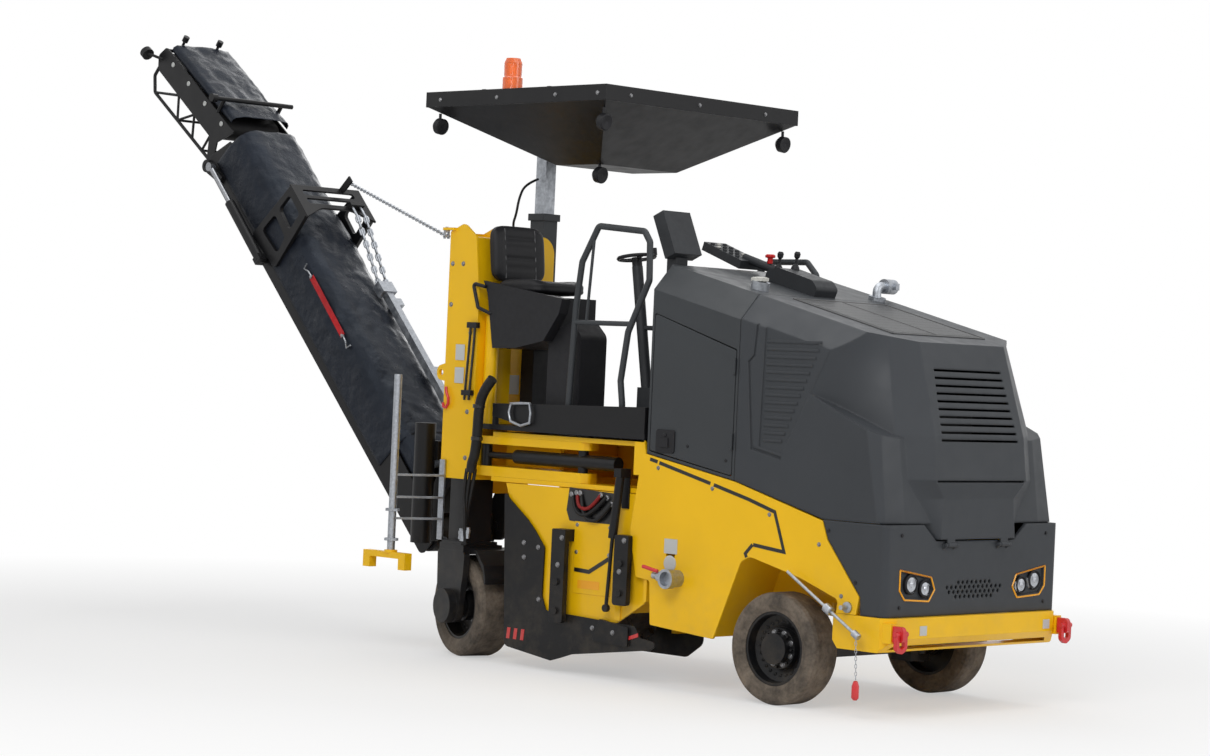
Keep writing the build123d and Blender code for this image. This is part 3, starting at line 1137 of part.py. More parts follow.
def boom_lower_cover():
    """Tarpaulin over the lower section, as a plain closed form."""
    h = BOOM_HALF
    arch = outline([(-h + 14, BOOM_SIDE_TOP + 6, 0), (-h + 14, BOOM_TOP - 70, 20),
                    (-h + 110, BOOM_TOP, 60), (h - 110, BOOM_TOP, 60),
                    (h - 14, BOOM_TOP - 70, 20), (h - 14, BOOM_SIDE_TOP + 6, 0)])
    hollow = outline([(-h + 32, BOOM_SIDE_TOP - 10, 0), (-h + 32, BOOM_TOP - 84, 14),
                      (-h + 118, BOOM_TOP - 18, 50), (h - 118, BOOM_TOP - 18, 50),
                      (h - 32, BOOM_TOP - 84, 14), (h - 32, BOOM_SIDE_TOP - 10, 0)])
    return BOOM_PLANE.location * slab_x(arch - hollow, 330, FOLD_U - 40)


def belt_lower():
    return BOOM_PLANE.location * belt(0, 3240, -98 + PULLEY_R + BELT_T, -98 - PULLEY_R - BELT_T,
                                      BOOM_HALF - 30)


HOIST_Y = -165
HOIST_SIDE = -BOOM_HALF - PIVOT_GAP
COLLAR_TOP = 354
HOIST_LUG_U = 2440


def hoist_chains():
    """Lift bar along the left top edge of the boom, its head bracket and the two short chains."""
    y = HOIST_Y
    base = BOOM_TOP + 24
    tube = block(330, 1800, y - 26, y + 26, base, base + 52)
    head = block(1770, 1860, y - 60, y + 60, base - 8, base + 62)
    feet = [block(u, u + 60, HOIST_SIDE - 18, HOIST_SIDE, -40, base + 10)
            + block(u, u + 60, HOIST_SIDE - 18, y - 20, base - 4, base + 10) for u in (350, 1100, 1700)]
    chains = [bar((1850, y + dy, base + 30), (2360, y + dy, COLLAR_TOP + 20), 9)
              + bar((2358, y + dy, COLLAR_TOP + 20), (HOIST_LUG_U - PIVOT_GAP, y + dy, COLLAR_TOP + 20), 9)
              for dy in (-36, 36)]
    return BOOM_PLANE.location * fuse(tube, head, *feet, *chains)


def boom_upper():
    """Folding tip: side plates, head pulley, open guard frame, lamps and lock bar."""
    h, t = BOOM_HALF - 12, BOOM_PLATE_T
    plate = outline([(60, 150, 20), (TIP_LENGTH - 60, 170, 40), (TIP_LENGTH, 250, 40),
                     (TIP_LENGTH - 40, 345, 30), (-60, 330, 10)])
    body = slab_y(plate, -h, -h + t) + slab_y(plate, h - t, h)
    for u in (110, TIP_LENGTH - 95):
        body += bar((u, -h + 1, 245), (u, h - 1, 245), 22)
        body += bar((u, -h + 26, 245), (u, h - 26, 245), PULLEY_R - 14 - PIVOT_GAP)
    # hinge plates down to the fold pin
    ear = outline([(-34, -30, 30), (34, -34, 30), (150, 160, 20), (60, 200, 20)])
    for y in (-h, h - t):
        body += slab_y(ear, y, y + t)
    body += bar((0, -h - 30, 0), (0, h + 30, 0), 18)
    # open guard frame under the tip
    for y in (-h + 12, h - 12):
        body += pipe([(40, y, 20), (860, y, 20), (940, y, 110), (TIP_LENGTH - 50, y, 180)], 12, 30)
        for u, v in ((150, 160), (390, 300), (390, 520), (620, 520), (620, 860)):
            body += bar((u, y, 160), (v, y, 20), 9)
    for u in (160, 520, 860):
        body += bar((u, -h + 12, 20), (u, h - 12, 20), 9)
    # lock bar across the tip near the fold
    body += bar((180, -345, 440), (180, 345, 440), 16)
    for y in (-h + 6, h - 6):
        body += bar((180, y, 330), (180, y, 440), 14)
    body += Pos(180, 345, 440) * Rot(X=90) * Cylinder(28, 44)
    # work lamp and its bracket
    body += bar((TIP_LENGTH - 50, h - 5, 250), (TIP_LENGTH + 40, h + 60, 230), 10)
    body += Pos(TIP_LENGTH + 50, h + 60, 225) * Rot(Y=90) * Cylinder(44, 40)
    for y in (-150, 150):
        body += Pos(TIP_LENGTH - 60, y, TIP_TOP + 20) * Cylinder(22, 40)
        body += bar((TIP_LENGTH - 60, y, 340), (TIP_LENGTH - 60, y, TIP_TOP + 10), 10)
    body += bar((TIP_LENGTH - 60, -h + 5, 332), (TIP_LENGTH - 60, h - 5, 332), 12)
    return TIP_PLANE.location * body


def boom_upper_cover():
    h = BOOM_HALF - 12
    low = 352
    arch = outline([(-h + 10, low, 0), (-h + 10, TIP_TOP - 30, 20), (-h + 90, TIP_TOP, 50),
                    (h - 90, TIP_TOP, 50),
                    (h - 10, TIP_TOP - 30, 20), (h - 10, low, 0)])
    hollow = outline([(-h + 26, low - 20, 0), (-h + 26, TIP_TOP - 44, 12), (-h + 98, TIP_TOP - 16, 40),
                      (h - 98, TIP_TOP - 16, 40), (h - 26, TIP_TOP - 44, 12), (h - 26, low - 20, 0)])
    cover = slab_x(arch - hollow, 20, TIP_LENGTH - 90)
    for y in (-h + 6, h - 6):
        cover -= bar((180, y, 300), (180, y, 460), 24)
    return TIP_PLANE.location * cover


def belt_upper():
    r = PULLEY_R - 14 + BELT_T
    return TIP_PLANE.location * belt(110, TIP_LENGTH - 95, 245 + r, 245 - r, BOOM_HALF - 42)


CARRIER_HALF = BOOM_HALF + 6
CARRIER_T = 18


def conveyor_carrier():
    """Yoke that turns on the rear frame's pin and holds the conveyor's foot."""
    y0, y1 = BOOM_Y - CARRIER_HALF, BOOM_Y + CARRIER_HALF
    cheek = outline([(-2950, 1320, 30), (-2950, 1060, 30), (-3040, 900, 40), (-3040, 670, 40),
                     (-3190, 660, 50), (-3200, 860, 50),
                     (-3060, 1100, 60), (-3060, 1320, 30)])
    body = slab_y(cheek, y0 - CARRIER_T, y0) + slab_y(cheek, y1, y1 + CARRIER_T)
    for y, s in ((y0 - CARRIER_T - 5, 1), (y1 - 1, 1)):
        body -= bar((BOOM_PIVOT[0], y, BOOM_PIVOT[1]),
                    (BOOM_PIVOT[0], y + CARRIER_T + 6, BOOM_PIVOT[1]), 34 + PIVOT_GAP)
    body += block(-2985, -2955, y0 - 1, y1 + 1, 1060, 1320)
    hub = Pos(SLEW_X, BOOM_Y, (1046.3 + 1329.7) / 2) * Cylinder(52, 1329.7 - 1046.3)
    body += hub + block(-2990, SLEW_X, BOOM_Y - 40, BOOM_Y + 40, 1070, 1310)
    # upright drive canister on the right-hand cheek
    can = (-3090, BOOM_Y - CARRIER_HALF - CARRIER_T - 100)
    body += Pos(can[0], can[1], 1035) * Cylinder(66, 750)
    body += block(can[0] - 20, -3000, can[1] + 30, y0 - 5, 1180, 1300)
    return body


# ---------------------------------------------------------------- stay chain
def stay_frame():
    """Frame at the mast's eye: x level along the chain, z up."""
    run = STAY_END - Vector(*STAY_EYE)
    return Plane(origin=STAY_EYE, x_dir=(run.X, run.Y, 0), z_dir=(0, 0, 1))


def stay_shackle():
    """Yoke that turns under the mast's lug and carries the chain's pin."""
    top = EYE_LUG_LIFT - PIVOT_GAP
    body = block(-16, 16, -15, 15, 22, top)
    for y in (-15, 9):
        body += block(-16, 16, y, y + 6, -16, 23)
    body += bar((0, -22, 0), (0, 22, 0), 8)
    body += bar((0, 0, top - 1), (0, 0, top + 22), 10 - PIVOT_GAP)
    return stay_frame().location * body


def stay_chain():
    """The chain's line as one bar with an eye at the mast."""
    place = stay_frame()
    run = place.to_local_coords(STAY_END)
    unit = run.normalized()
    body = bar((0, -8.7, 0), (0, 8.7, 0), 18)
    body += bar(tuple(unit * 14), tuple(run), 8)
    body -= bar((0, -9, 0), (0, 9, 0), 8 + PIVOT_GAP)
    return place.location * body


# ---------------------------------------------------------------- all nodes
def build_nodes():
    nodes = {}
    nodes["main_frame"] = main_frame()
    nodes["front_axle"] = front_axle()
    nodes["knuckle_right"] = knuckle(-1)
    nodes["knuckle_left"] = knuckle(1)
    nodes["steering_rod"] = steering_rod()
    wheels = [("front_right", 0, -FRONT_WHEEL_Y, FRONT_TYRE_W, -1, 0),
              ("front_left", 0, FRONT_WHEEL_Y, FRONT_TYRE_W, 1, 0),
              ("rear_right", REAR_X, -REAR_WHEEL_Y, REAR_TYRE_W, 1, REAR_HEADING),
              ("rear_left", REAR_X, REAR_WHEEL_Y, REAR_TYRE_W, -1, 0)]
    for name, x, y, width, out, heading in wheels:
        nodes["tyre_" + name], nodes["rim_" + name] = wheel(x, y, width, out, heading)
    nodes["front_bumper"] = front_bumper()
    nodes["tow_shackles"] = tow_shackles()
    nodes["front_fascia"] = front_fascia()
    nodes["headlamps"] = headlamps()
    nodes["engine_block"] = engine_block()
    nodes["engine_cover"] = engine_cover()
    nodes["door_right"] = side_door(-1)
    nodes["door_left"] = side_door(1)
    nodes["hood"] = hood()
    nodes["control_panels"] = control_panels() + [roof_console()]
    nodes["steering_wheel"] = steering_wheel()
    nodes["water_fittings"] = water_fittings()
    nodes["platform_deck"] = platform_deck()
    nodes["handrails"] = handrails()
    nodes["operator_seat"] = operator_seat()
    nodes["seat_base"] = seat_base()
    nodes["rear_frame"] = rear_frame()
    nodes["swing_cylinder"] = swing_cylinder()
    nodes["leg_right"], nodes["fork_right"] = right_leg()
    nodes["leg_left"] = list(left_leg())
    nodes["milling_drum"] = milling_drum()
    nodes["drum_housing"] = drum_housing()
    nodes["protector_right"] = edge_protector(-1)
    nodes["protector_left"] = edge_protector(1)
    nodes["protector_guides"] = protector_guides()
    nodes["sensor_holder"] = sensor_holder()
    nodes["canopy_sleeve"] = canopy_sleeve()
    nodes["canopy_post"] = canopy_post()
    nodes["canopy_roof"] = canopy_roof()
    nodes["canopy_lamps"] = canopy_lamps()
    nodes["beacon"] = beacon()
    nodes["conveyor_carrier"] = conveyor_carrier()
    nodes["boom_lower"] = boom_lower()
    nodes["boom_lower_cover"] = boom_lower_cover()
    nodes["belt_lower"] = belt_lower()
    nodes["hoist_chains"] = hoist_chains()
    nodes["fold_rod"] = fold_rod()
    nodes["boom_upper"] = boom_upper()
    nodes["boom_upper_cover"] = boom_upper_cover()
    nodes["belt_upper"] = belt_upper()
    nodes["stay_shackle"] = stay_shackle()
    nodes["stay_chain"] = stay_chain()
    return nodes


def solids_of(shape):
    if isinstance(shape, (list, tuple)):
        return [s for item in shape for s in solids_of(item)]
    return list(shape.solids())


def main():
    nodes = {name: Compound(children=solids_of(shape)) for name, shape in build_nodes().items()}
    boxes = [shape.bounding_box() for shape in nodes.values()]
    low = [min(getattr(b.min, axis) for b in boxes) for axis in "XYZ"]
    high = [max(getattr(b.max, axis) for b in boxes) for axis in "XYZ"]
    shift = Location((-(low[0] + high[0]) / 2, -(low[1] + high[1]) / 2, -low[2]))
    os.makedirs("parts", exist_ok=True)
    for name, shape in nodes.items():
        export_step(shape.moved(shift), f"parts/{name}.step")
    print("shift", shift.position)
    return nodes, shift


NODES, SHIFT = main()
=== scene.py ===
"""Looks of the compact wheeled cold planer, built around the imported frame."""
import math

import bpy
from mathutils import Matrix, Vector, noise
from mathutils.bvhtree import BVHTree


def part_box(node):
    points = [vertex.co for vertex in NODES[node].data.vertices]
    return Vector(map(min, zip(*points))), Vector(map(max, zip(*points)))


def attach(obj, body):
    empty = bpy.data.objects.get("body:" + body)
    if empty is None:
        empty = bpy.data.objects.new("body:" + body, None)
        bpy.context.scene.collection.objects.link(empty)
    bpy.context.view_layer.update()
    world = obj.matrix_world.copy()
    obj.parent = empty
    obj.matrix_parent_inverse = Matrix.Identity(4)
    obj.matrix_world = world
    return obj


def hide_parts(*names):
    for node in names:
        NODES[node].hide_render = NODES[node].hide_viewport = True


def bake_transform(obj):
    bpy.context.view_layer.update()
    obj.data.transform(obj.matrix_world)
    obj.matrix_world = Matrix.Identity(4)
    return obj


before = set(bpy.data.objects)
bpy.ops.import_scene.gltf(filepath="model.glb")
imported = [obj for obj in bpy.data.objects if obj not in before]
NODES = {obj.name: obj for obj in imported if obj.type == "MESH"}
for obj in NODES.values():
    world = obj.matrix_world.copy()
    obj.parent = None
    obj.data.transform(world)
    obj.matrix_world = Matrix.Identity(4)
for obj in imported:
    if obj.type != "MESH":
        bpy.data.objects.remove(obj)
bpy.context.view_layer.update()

# machine axes: x forward from the front axle, y left, z up from the ground
TYRE_LOW, TYRE_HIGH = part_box("tyre_front_right")
SHIFT = (TYRE_LOW + TYRE_HIGH) / 2 - Vector((0, -0.68, 0.31))


def at(x, y, z):
    """A machine point in the frame's own coordinates."""
    return Vector((x, y, z)) + SHIFT


# ---------------------------------------------------------------- materials
class Graph:
    """Small helper for node materials."""

    def __init__(self, name, **shader):
        self.material = bpy.data.materials.new(name)
        self.material.use_nodes = True
        self.tree = self.material.node_tree
        self.nodes = self.tree.nodes
        self.bsdf = self.nodes["Principled BSDF"]
        for key, value in shader.items():
            self.bsdf.inputs[key.replace("_", " ")].default_value = value
        self.coord = self.add("ShaderNodeTexCoord").outputs["Object"]

    def add(self, kind, values=None, **settings):
        node = self.nodes.new(kind)
        for key, value in settings.items():
            setattr(node, key, value)
        for key, value in (values or {}).items():
            if isinstance(value, bpy.types.NodeSocket):
                self.tree.links.new(value, node.inputs[key])
            else:
                node.inputs[key].default_value = value
        return node

    def link(self, a, b):
        self.tree.links.new(a, b)

    def noise(self, scale, detail=3.0, rough=0.5, stretch=None):
        vector = self.coord
        if stretch:
            vector = self.add("ShaderNodeMapping", {"Vector": self.coord, "Scale": stretch}).outputs[0]
        values = {"Vector": vector, "Scale": scale, "Detail": detail, "Roughness": rough}
        return self.add("ShaderNodeTexNoise", values).outputs["Fac"]

    def ramp(self, fac, low, high, a=0.0, b=1.0):
        values = {"Value": fac, "From Min": low, "From Max": high, "To Min": a, "To Max": b}
        return self.add("ShaderNodeMapRange", values, clamp=True).outputs[0]

    def mix(self, fac, a, b):
        node = self.add("ShaderNodeMix", data_type="RGBA")
        for key, value in ((0, fac), (6, a), (7, b)):
            if isinstance(value, bpy.types.NodeSocket):
                self.link(value, node.inputs[key])
            else:
                node.inputs[key].default_value = value
        return node.outputs[2]

    def bump(self, height, strength, distance, edge=0.0):
        values = {"Height": height, "Strength": strength, "Distance": distance}
        if edge:
            values["Normal"] = self.add("ShaderNodeBevel", {"Radius": edge}, samples=4).outputs[0]
        node = self.add("ShaderNodeBump", values)
        self.link(node.outputs[0], self.bsdf.inputs["Normal"])

    def math(self, operation, a, b=0.0):
        return self.add("ShaderNodeMath", {0: a, 1: b}, operation=operation).outputs[0]


def srgb(r, g, b):
    """Colour from 0-255 screen values to linear, with alpha."""
    def one(c):
        c /= 255
        return c / 12.92 if c <= 0.04045 else ((c + 0.055) / 1.055) ** 2.4
    return one(r), one(g), one(b), 1.0


def shade(colour, k):
    """The colour made darker or lighter by the factor k."""
    return tuple(min(1.0, c * k) for c in colour[:3]) + (1.0,)


DUST = srgb(150, 135, 115)
PAINT_YELLOW = srgb(250, 196, 6)
ZINC = srgb(176, 180, 186)


def painted(name, colour, rough=0.35, coat=0.3, dust=0.25, worn=0.12, edge=0.004, grain=0.06, gloss=0.5):
    """Sprayed steel: slight tone drift, orange peel, dust low down and a few rubbed spots."""
    g = Graph(name, Roughness=rough, Coat_Weight=coat, Coat_Roughness=0.15, Specular_IOR_Level=gloss)
    tone = g.mix(g.ramp(g.noise(1.7, 4), 0.3, 0.7), shade(colour, 0.94), shade(colour, 1.04))
    rubbed = g.math("MULTIPLY", g.ramp(g.noise(3.1, 5, 0.6), 0.60, 0.70),
                    g.ramp(g.noise(60, 4, 0.7), 0.55, 0.66))
    tone = g.mix(g.math("MULTIPLY", rubbed, worn), tone, shade(colour, 0.55))
    height = g.add("ShaderNodeSeparateXYZ", {0: g.coord}).outputs["Z"]
    low = g.ramp(height, 1.0, 0.15)
    grime = g.math("MULTIPLY", low, g.ramp(g.noise(7, 6, 0.65), 0.45, 0.75))
    tone = g.mix(g.math("MULTIPLY", grime, dust), tone, DUST)
    g.link(tone, g.bsdf.inputs["Base Color"])
    g.link(g.ramp(g.noise(11, 4), 0.3, 0.7, rough - 0.05, rough + 0.08), g.bsdf.inputs["Roughness"])
    g.bump(g.noise(420, 2), grain, 0.0004, edge)
    return g.material


def metal(name, colour, rough=0.3, spangle=0.0, stain=0.0, foot=0.0):
    """Bare metal with fine scratches; spangle and stain are shares, and below height foot it is painted."""
    g = Graph(name, Metallic=1.0)
    tone = g.mix(g.ramp(g.noise(60, 3), 0.35, 0.65), shade(colour, 0.85), shade(colour, 1.08))
    if spangle:
        cells = g.add("ShaderNodeTexVoronoi", {"Vector": g.coord, "Scale": 90.0}).outputs["Color"]
        grey = g.add("ShaderNodeRGBToBW", {0: cells}).outputs[0]
        tone = g.mix(g.math("MULTIPLY", grey, spangle), tone, shade(colour, 0.6))
    if stain:
        tone = g.mix(g.math("MULTIPLY", g.ramp(g.noise(11, 6, 0.7), 0.5, 0.7), stain), tone, srgb(96, 66, 44))
    if foot:
        height = g.add("ShaderNodeSeparateXYZ", {0: g.coord}).outputs["Z"]
        above = g.ramp(height, foot - 0.0005, foot + 0.0005)
        tone = g.mix(above, PAINT_YELLOW, tone)
        g.link(above, g.bsdf.inputs["Metallic"])
    g.link(tone, g.bsdf.inputs["Base Color"])
    g.link(g.ramp(g.noise(25, 5), 0.3, 0.7, rough * 0.7, rough * 1.5), g.bsdf.inputs["Roughness"])
    g.bump(g.noise(160, 3, 0.6, (1, 1, 12)), 0.10, 0.0006)
    return g.material


def plastic(name, colour, rough=0.5, grain=0.25):
    """Moulded plastic with a fine cell grain."""
    g = Graph(name, Roughness=rough, Specular_IOR_Level=0.28)
    tone = g.mix(g.ramp(g.noise(6, 4), 0.3, 0.7), shade(colour, 0.88), shade(colour, 1.12))
    g.link(tone, g.bsdf.inputs["Base Color"])
    cells = g.add("ShaderNodeTexVoronoi", {"Vector": g.coord, "Scale": 600.0}).outputs["Distance"]
    g.link(g.ramp(g.noise(30, 3), 0.3, 0.7, rough - 0.07, rough + 0.08), g.bsdf.inputs["Roughness"])
    g.bump(cells, grain, 0.0005)
    return g.material


def rubber(name, colour, dusty, rough=0.75):
    """Dull rubber with blots of dust."""
    g = Graph(name, Roughness=rough, Specular_IOR_Level=0.25)
    blot = g.ramp(g.noise(7, 6, 0.65), 0.35, 0.68)
    tone = g.mix(blot, colour, dusty)
    tone = g.mix(g.ramp(g.noise(55, 5), 0.4, 0.8, 0, 0.45), tone, shade(colour, 0.5))
    g.link(tone, g.bsdf.inputs["Base Color"])
    g.bump(g.noise(75, 8, 0.7), 0.5, 0.0015)
    return g.material


def tarpaulin(name, colour):
    """Coated truck cloth: glossy, with a fine weave and soft creases."""
    g = Graph(name, Roughness=0.34, Specular_IOR_Level=0.26)
    g.bsdf.inputs["Specular Tint"].default_value = (0.72, 0.84, 1.0, 1)
    tone = g.mix(g.ramp(g.noise(5, 5), 0.3, 0.7), shade(colour, 0.75), shade(colour, 1.25))
    g.link(tone, g.bsdf.inputs["Base Color"])
    g.link(g.ramp(g.noise(8, 5), 0.3, 0.7, 0.24, 0.46), g.bsdf.inputs["Roughness"])
    crease = g.noise(7, 3, 0.45)
    weave = g.noise(900, 1)
    height = g.math("ADD", crease, g.math("MULTIPLY", weave, 0.03))
    g.bump(height, 0.7, 0.03)
    return g.material


def leather(name, colour):
    """Grained vinyl: small cells with dark lines between them."""
    g = Graph(name, Roughness=0.5, Specular_IOR_Level=0.3)
    cells = g.add("ShaderNodeTexVoronoi", {"Vector": g.coord, "Scale": 420.0}, feature="DISTANCE_TO_EDGE")
    grain = g.ramp(cells.outputs["Distance"], 0.0, 0.25)
    tone = g.mix(grain, shade(colour, 0.6),
                 g.mix(g.ramp(g.noise(7, 4), 0.3, 0.7), colour, shade(colour, 1.35)))
    g.link(tone, g.bsdf.inputs["Base Color"])
    g.bump(g.math("ADD", grain, g.noise(14, 4)), 0.35, 0.0008)
    return g.material


def lens(name, colour, rough=0.08, clear=0.5):
    """Fluted lamp glass."""
    g = Graph(name, Roughness=rough, Transmission_Weight=clear, IOR=1.49, Coat_Weight=0.6)
    tone = g.mix(g.ramp(g.noise(30, 2), 0.3, 0.7), shade(colour, 0.93), shade(colour, 1.05))
    g.link(tone, g.bsdf.inputs["Base Color"])
    flutes = g.add("ShaderNodeTexWave", {"Vector": g.coord, "Scale": 60.0},
                   bands_direction="Z").outputs["Fac"]
    g.bump(flutes, 0.2, 0.001)
    return g.material


def perforated(name, colour):
    """Punched black sheet: rows of round holes, seen as dark pits, with painted shade, near black, in them.
    """
    g = Graph(name, Roughness=0.45, Metallic=0.3)
    cells = g.add("ShaderNodeTexVoronoi", {"Vector": g.coord, "Scale": 62.0, "Randomness": 0.0})
    hole_and_shade = g.ramp(cells.outputs["Distance"], 0.30, 0.36)
    # painted shade: the holes are coloured near black for the dark inside them; the bump dents them
    g.link(g.mix(hole_and_shade, (0.002, 0.002, 0.002, 1), colour), g.bsdf.inputs["Base Color"])
    g.bump(hole_and_shade, 0.8, 0.004)
    return g.material


YELLOW = painted("yellow_enamel", PAINT_YELLOW, rough=0.34, coat=0.15, dust=0.16, gloss=0.35)
GREY = painted("dark_grey_enamel", srgb(57, 60, 63), rough=0.45, coat=0.0, dust=0.08, edge=0.009, gloss=0.30)
MOULDED = painted("moulded_grey", srgb(57, 60, 64), rough=0.46, coat=0.0, dust=0.0, edge=0.018, grain=0.14,
                  gloss=0.30)
BLACK = painted("black_enamel", srgb(22, 22, 24), rough=0.36, coat=0.0, worn=0.3, dust=0.12, gloss=0.28)
RED = painted("red_enamel", srgb(214, 38, 44), rough=0.35)
# black paint for print and black parts, also used for the painted shade in the drum bay
MARKING_AND_SHADE = painted("black_marking_and_shade", srgb(17, 17, 18), rough=0.3, dust=0.0, edge=0.0)
PALE = painted("pale_plate", srgb(196, 198, 196), rough=0.35, dust=0.1, edge=0.0)
ORANGE = painted("amber_outline", srgb(250, 172, 8), rough=0.35, dust=0.0, edge=0.0)
STEEL = metal("machined_steel", srgb(150, 152, 156), rough=0.25)
CHROME = metal("polished_rod", srgb(205, 208, 214), rough=0.10)
GALVANISED = metal("galvanised_steel", ZINC, rough=0.42, spangle=0.35)
HOLDER = metal("holder_steel", ZINC, rough=0.42, spangle=0.35, foot=0.646)
BOLT = metal("bolt_steel", srgb(140, 140, 142), rough=0.35, spangle=0.1)
DARK_BOLT = metal("dark_bolt", srgb(60, 60, 62), rough=0.4)
CUTTING = metal("cutting_steel", srgb(84, 80, 78), rough=0.55, stain=0.5)
CASTING = painted("oily_casting", srgb(52, 52, 52), rough=0.5, coat=0.0, dust=0.5)
TYRE = rubber("tyre_rubber", srgb(74, 68, 62), srgb(132, 120, 107))
HOSE = rubber("hose_rubber", srgb(22, 22, 23), srgb(34, 33, 33), rough=0.5)
RED_HOSE = rubber("red_hose", srgb(150, 30, 28), srgb(120, 34, 30), rough=0.5)
BELT = rubber("belt_rubber", srgb(30, 30, 32), srgb(44, 43, 42), rough=0.6)
TARP = tarpaulin("coated_cloth", srgb(22, 25, 33))
WEBBING = tarpaulin("red_webbing", srgb(190, 28, 30))
VINYL = leather("seat_vinyl", srgb(30, 30, 33))
PIPING = leather("seat_piping", srgb(120, 120, 122))
PLASTIC = plastic("black_plastic", srgb(28, 28, 31))
GREY_PLASTIC = plastic("grey_plastic", srgb(46, 48, 51))
WHITE_PLASTIC = plastic("white_plastic", srgb(205, 204, 198))
RED_PLASTIC = plastic("red_plastic", srgb(200, 26, 26), grain=0.05)
MESH = perforated("punched_sheet", srgb(46, 48, 50))
GLASS = lens("lamp_glass", srgb(225, 230, 236))
AMBER = lens("amber_lens", srgb(255, 110, 10), clear=0.25)

FINISH = {
    YELLOW: ["main_frame", "front_bumper", "rear_frame", "drum_housing"],
    GREY: ["engine_cover", "door_right", "door_left", "handrails", "canopy_sleeve"],
    MOULDED: ["hood", "front_fascia"],
    BLACK: ["front_axle", "knuckle_right", "knuckle_left", "platform_deck", "leg_right", "leg_left",
            "fork_right", "swing_cylinder", "protector_right", "protector_left", "protector_guides",
            "conveyor_carrier", "boom_lower", "boom_upper", "canopy_roof",
            "rim_front_right", "rim_front_left", "rim_rear_right", "rim_rear_left"],
    RED: ["tow_shackles"],
    STEEL: ["steering_rod", "fold_rod"],
    HOLDER: ["sensor_holder"],
    GALVANISED: ["water_fittings", "canopy_post", "stay_shackle", "stay_chain", "hoist_chains"],
    CUTTING: ["milling_drum"],
    CASTING: ["engine_block"],
    TYRE: ["tyre_front_right", "tyre_front_left", "tyre_rear_right", "tyre_rear_left"],
    BELT: ["belt_lower", "belt_upper"],
    TARP: ["boom_lower_cover", "boom_upper_cover"],
    VINYL: ["operator_seat"],
    PLASTIC: ["steering_wheel", "seat_base", "canopy_lamps"],
    GREY_PLASTIC: ["control_panels"],
    GLASS: ["headlamps"],
    AMBER: ["beacon"],
}
for material, names in FINISH.items():
    for name in names:
        NODES[name].data.materials.clear()
        NODES[name].data.materials.append(material)


# ---------------------------------------------------------------- piece making
# Every point below is in machine metres; SHIFT is added when a mesh is made.
X, Y, Z = Vector((1, 0, 0)), Vector((0, 1, 0)), Vector((0, 0, 1))
PROUD = 0.0003                        # keeps a plate's back off the face that it lies on


class Frame:
    """Local frame on the machine: an origin, u along x, v across and w along z."""

    def __init__(self, origin, x, z):
        self.origin, self.x, self.z = Vector(origin), Vector(x).normalized(), Vector(z).normalized()
        self.y = self.z.cross(self.x)

    def __call__(self, u, v, w):
        return self.origin + self.x * u + self.y * v + self.z * w


def circle(count, first=0.0):
    """Unit (cos, sin) pairs at even steps round a circle."""
    for k in range(count):
        a = 2 * math.pi * (k + first) / count
        yield math.cos(a), math.sin(a)


def tube_faces(rings, count, closed=False):
    """Quads between neighbouring rings of count points; open ends get a cap each."""
    faces = []
    for i in range(rings if closed else rings - 1):
        j = (i + 1) % rings
        for k in range(count):
            n = (k + 1) % count
            faces.append((i * count + k, i * count + n, j * count + n, j * count + k))
    if not closed:
        faces.append(tuple(reversed(range(count))))
        faces.append(tuple(range((rings - 1) * count, rings * count)))
    return faces


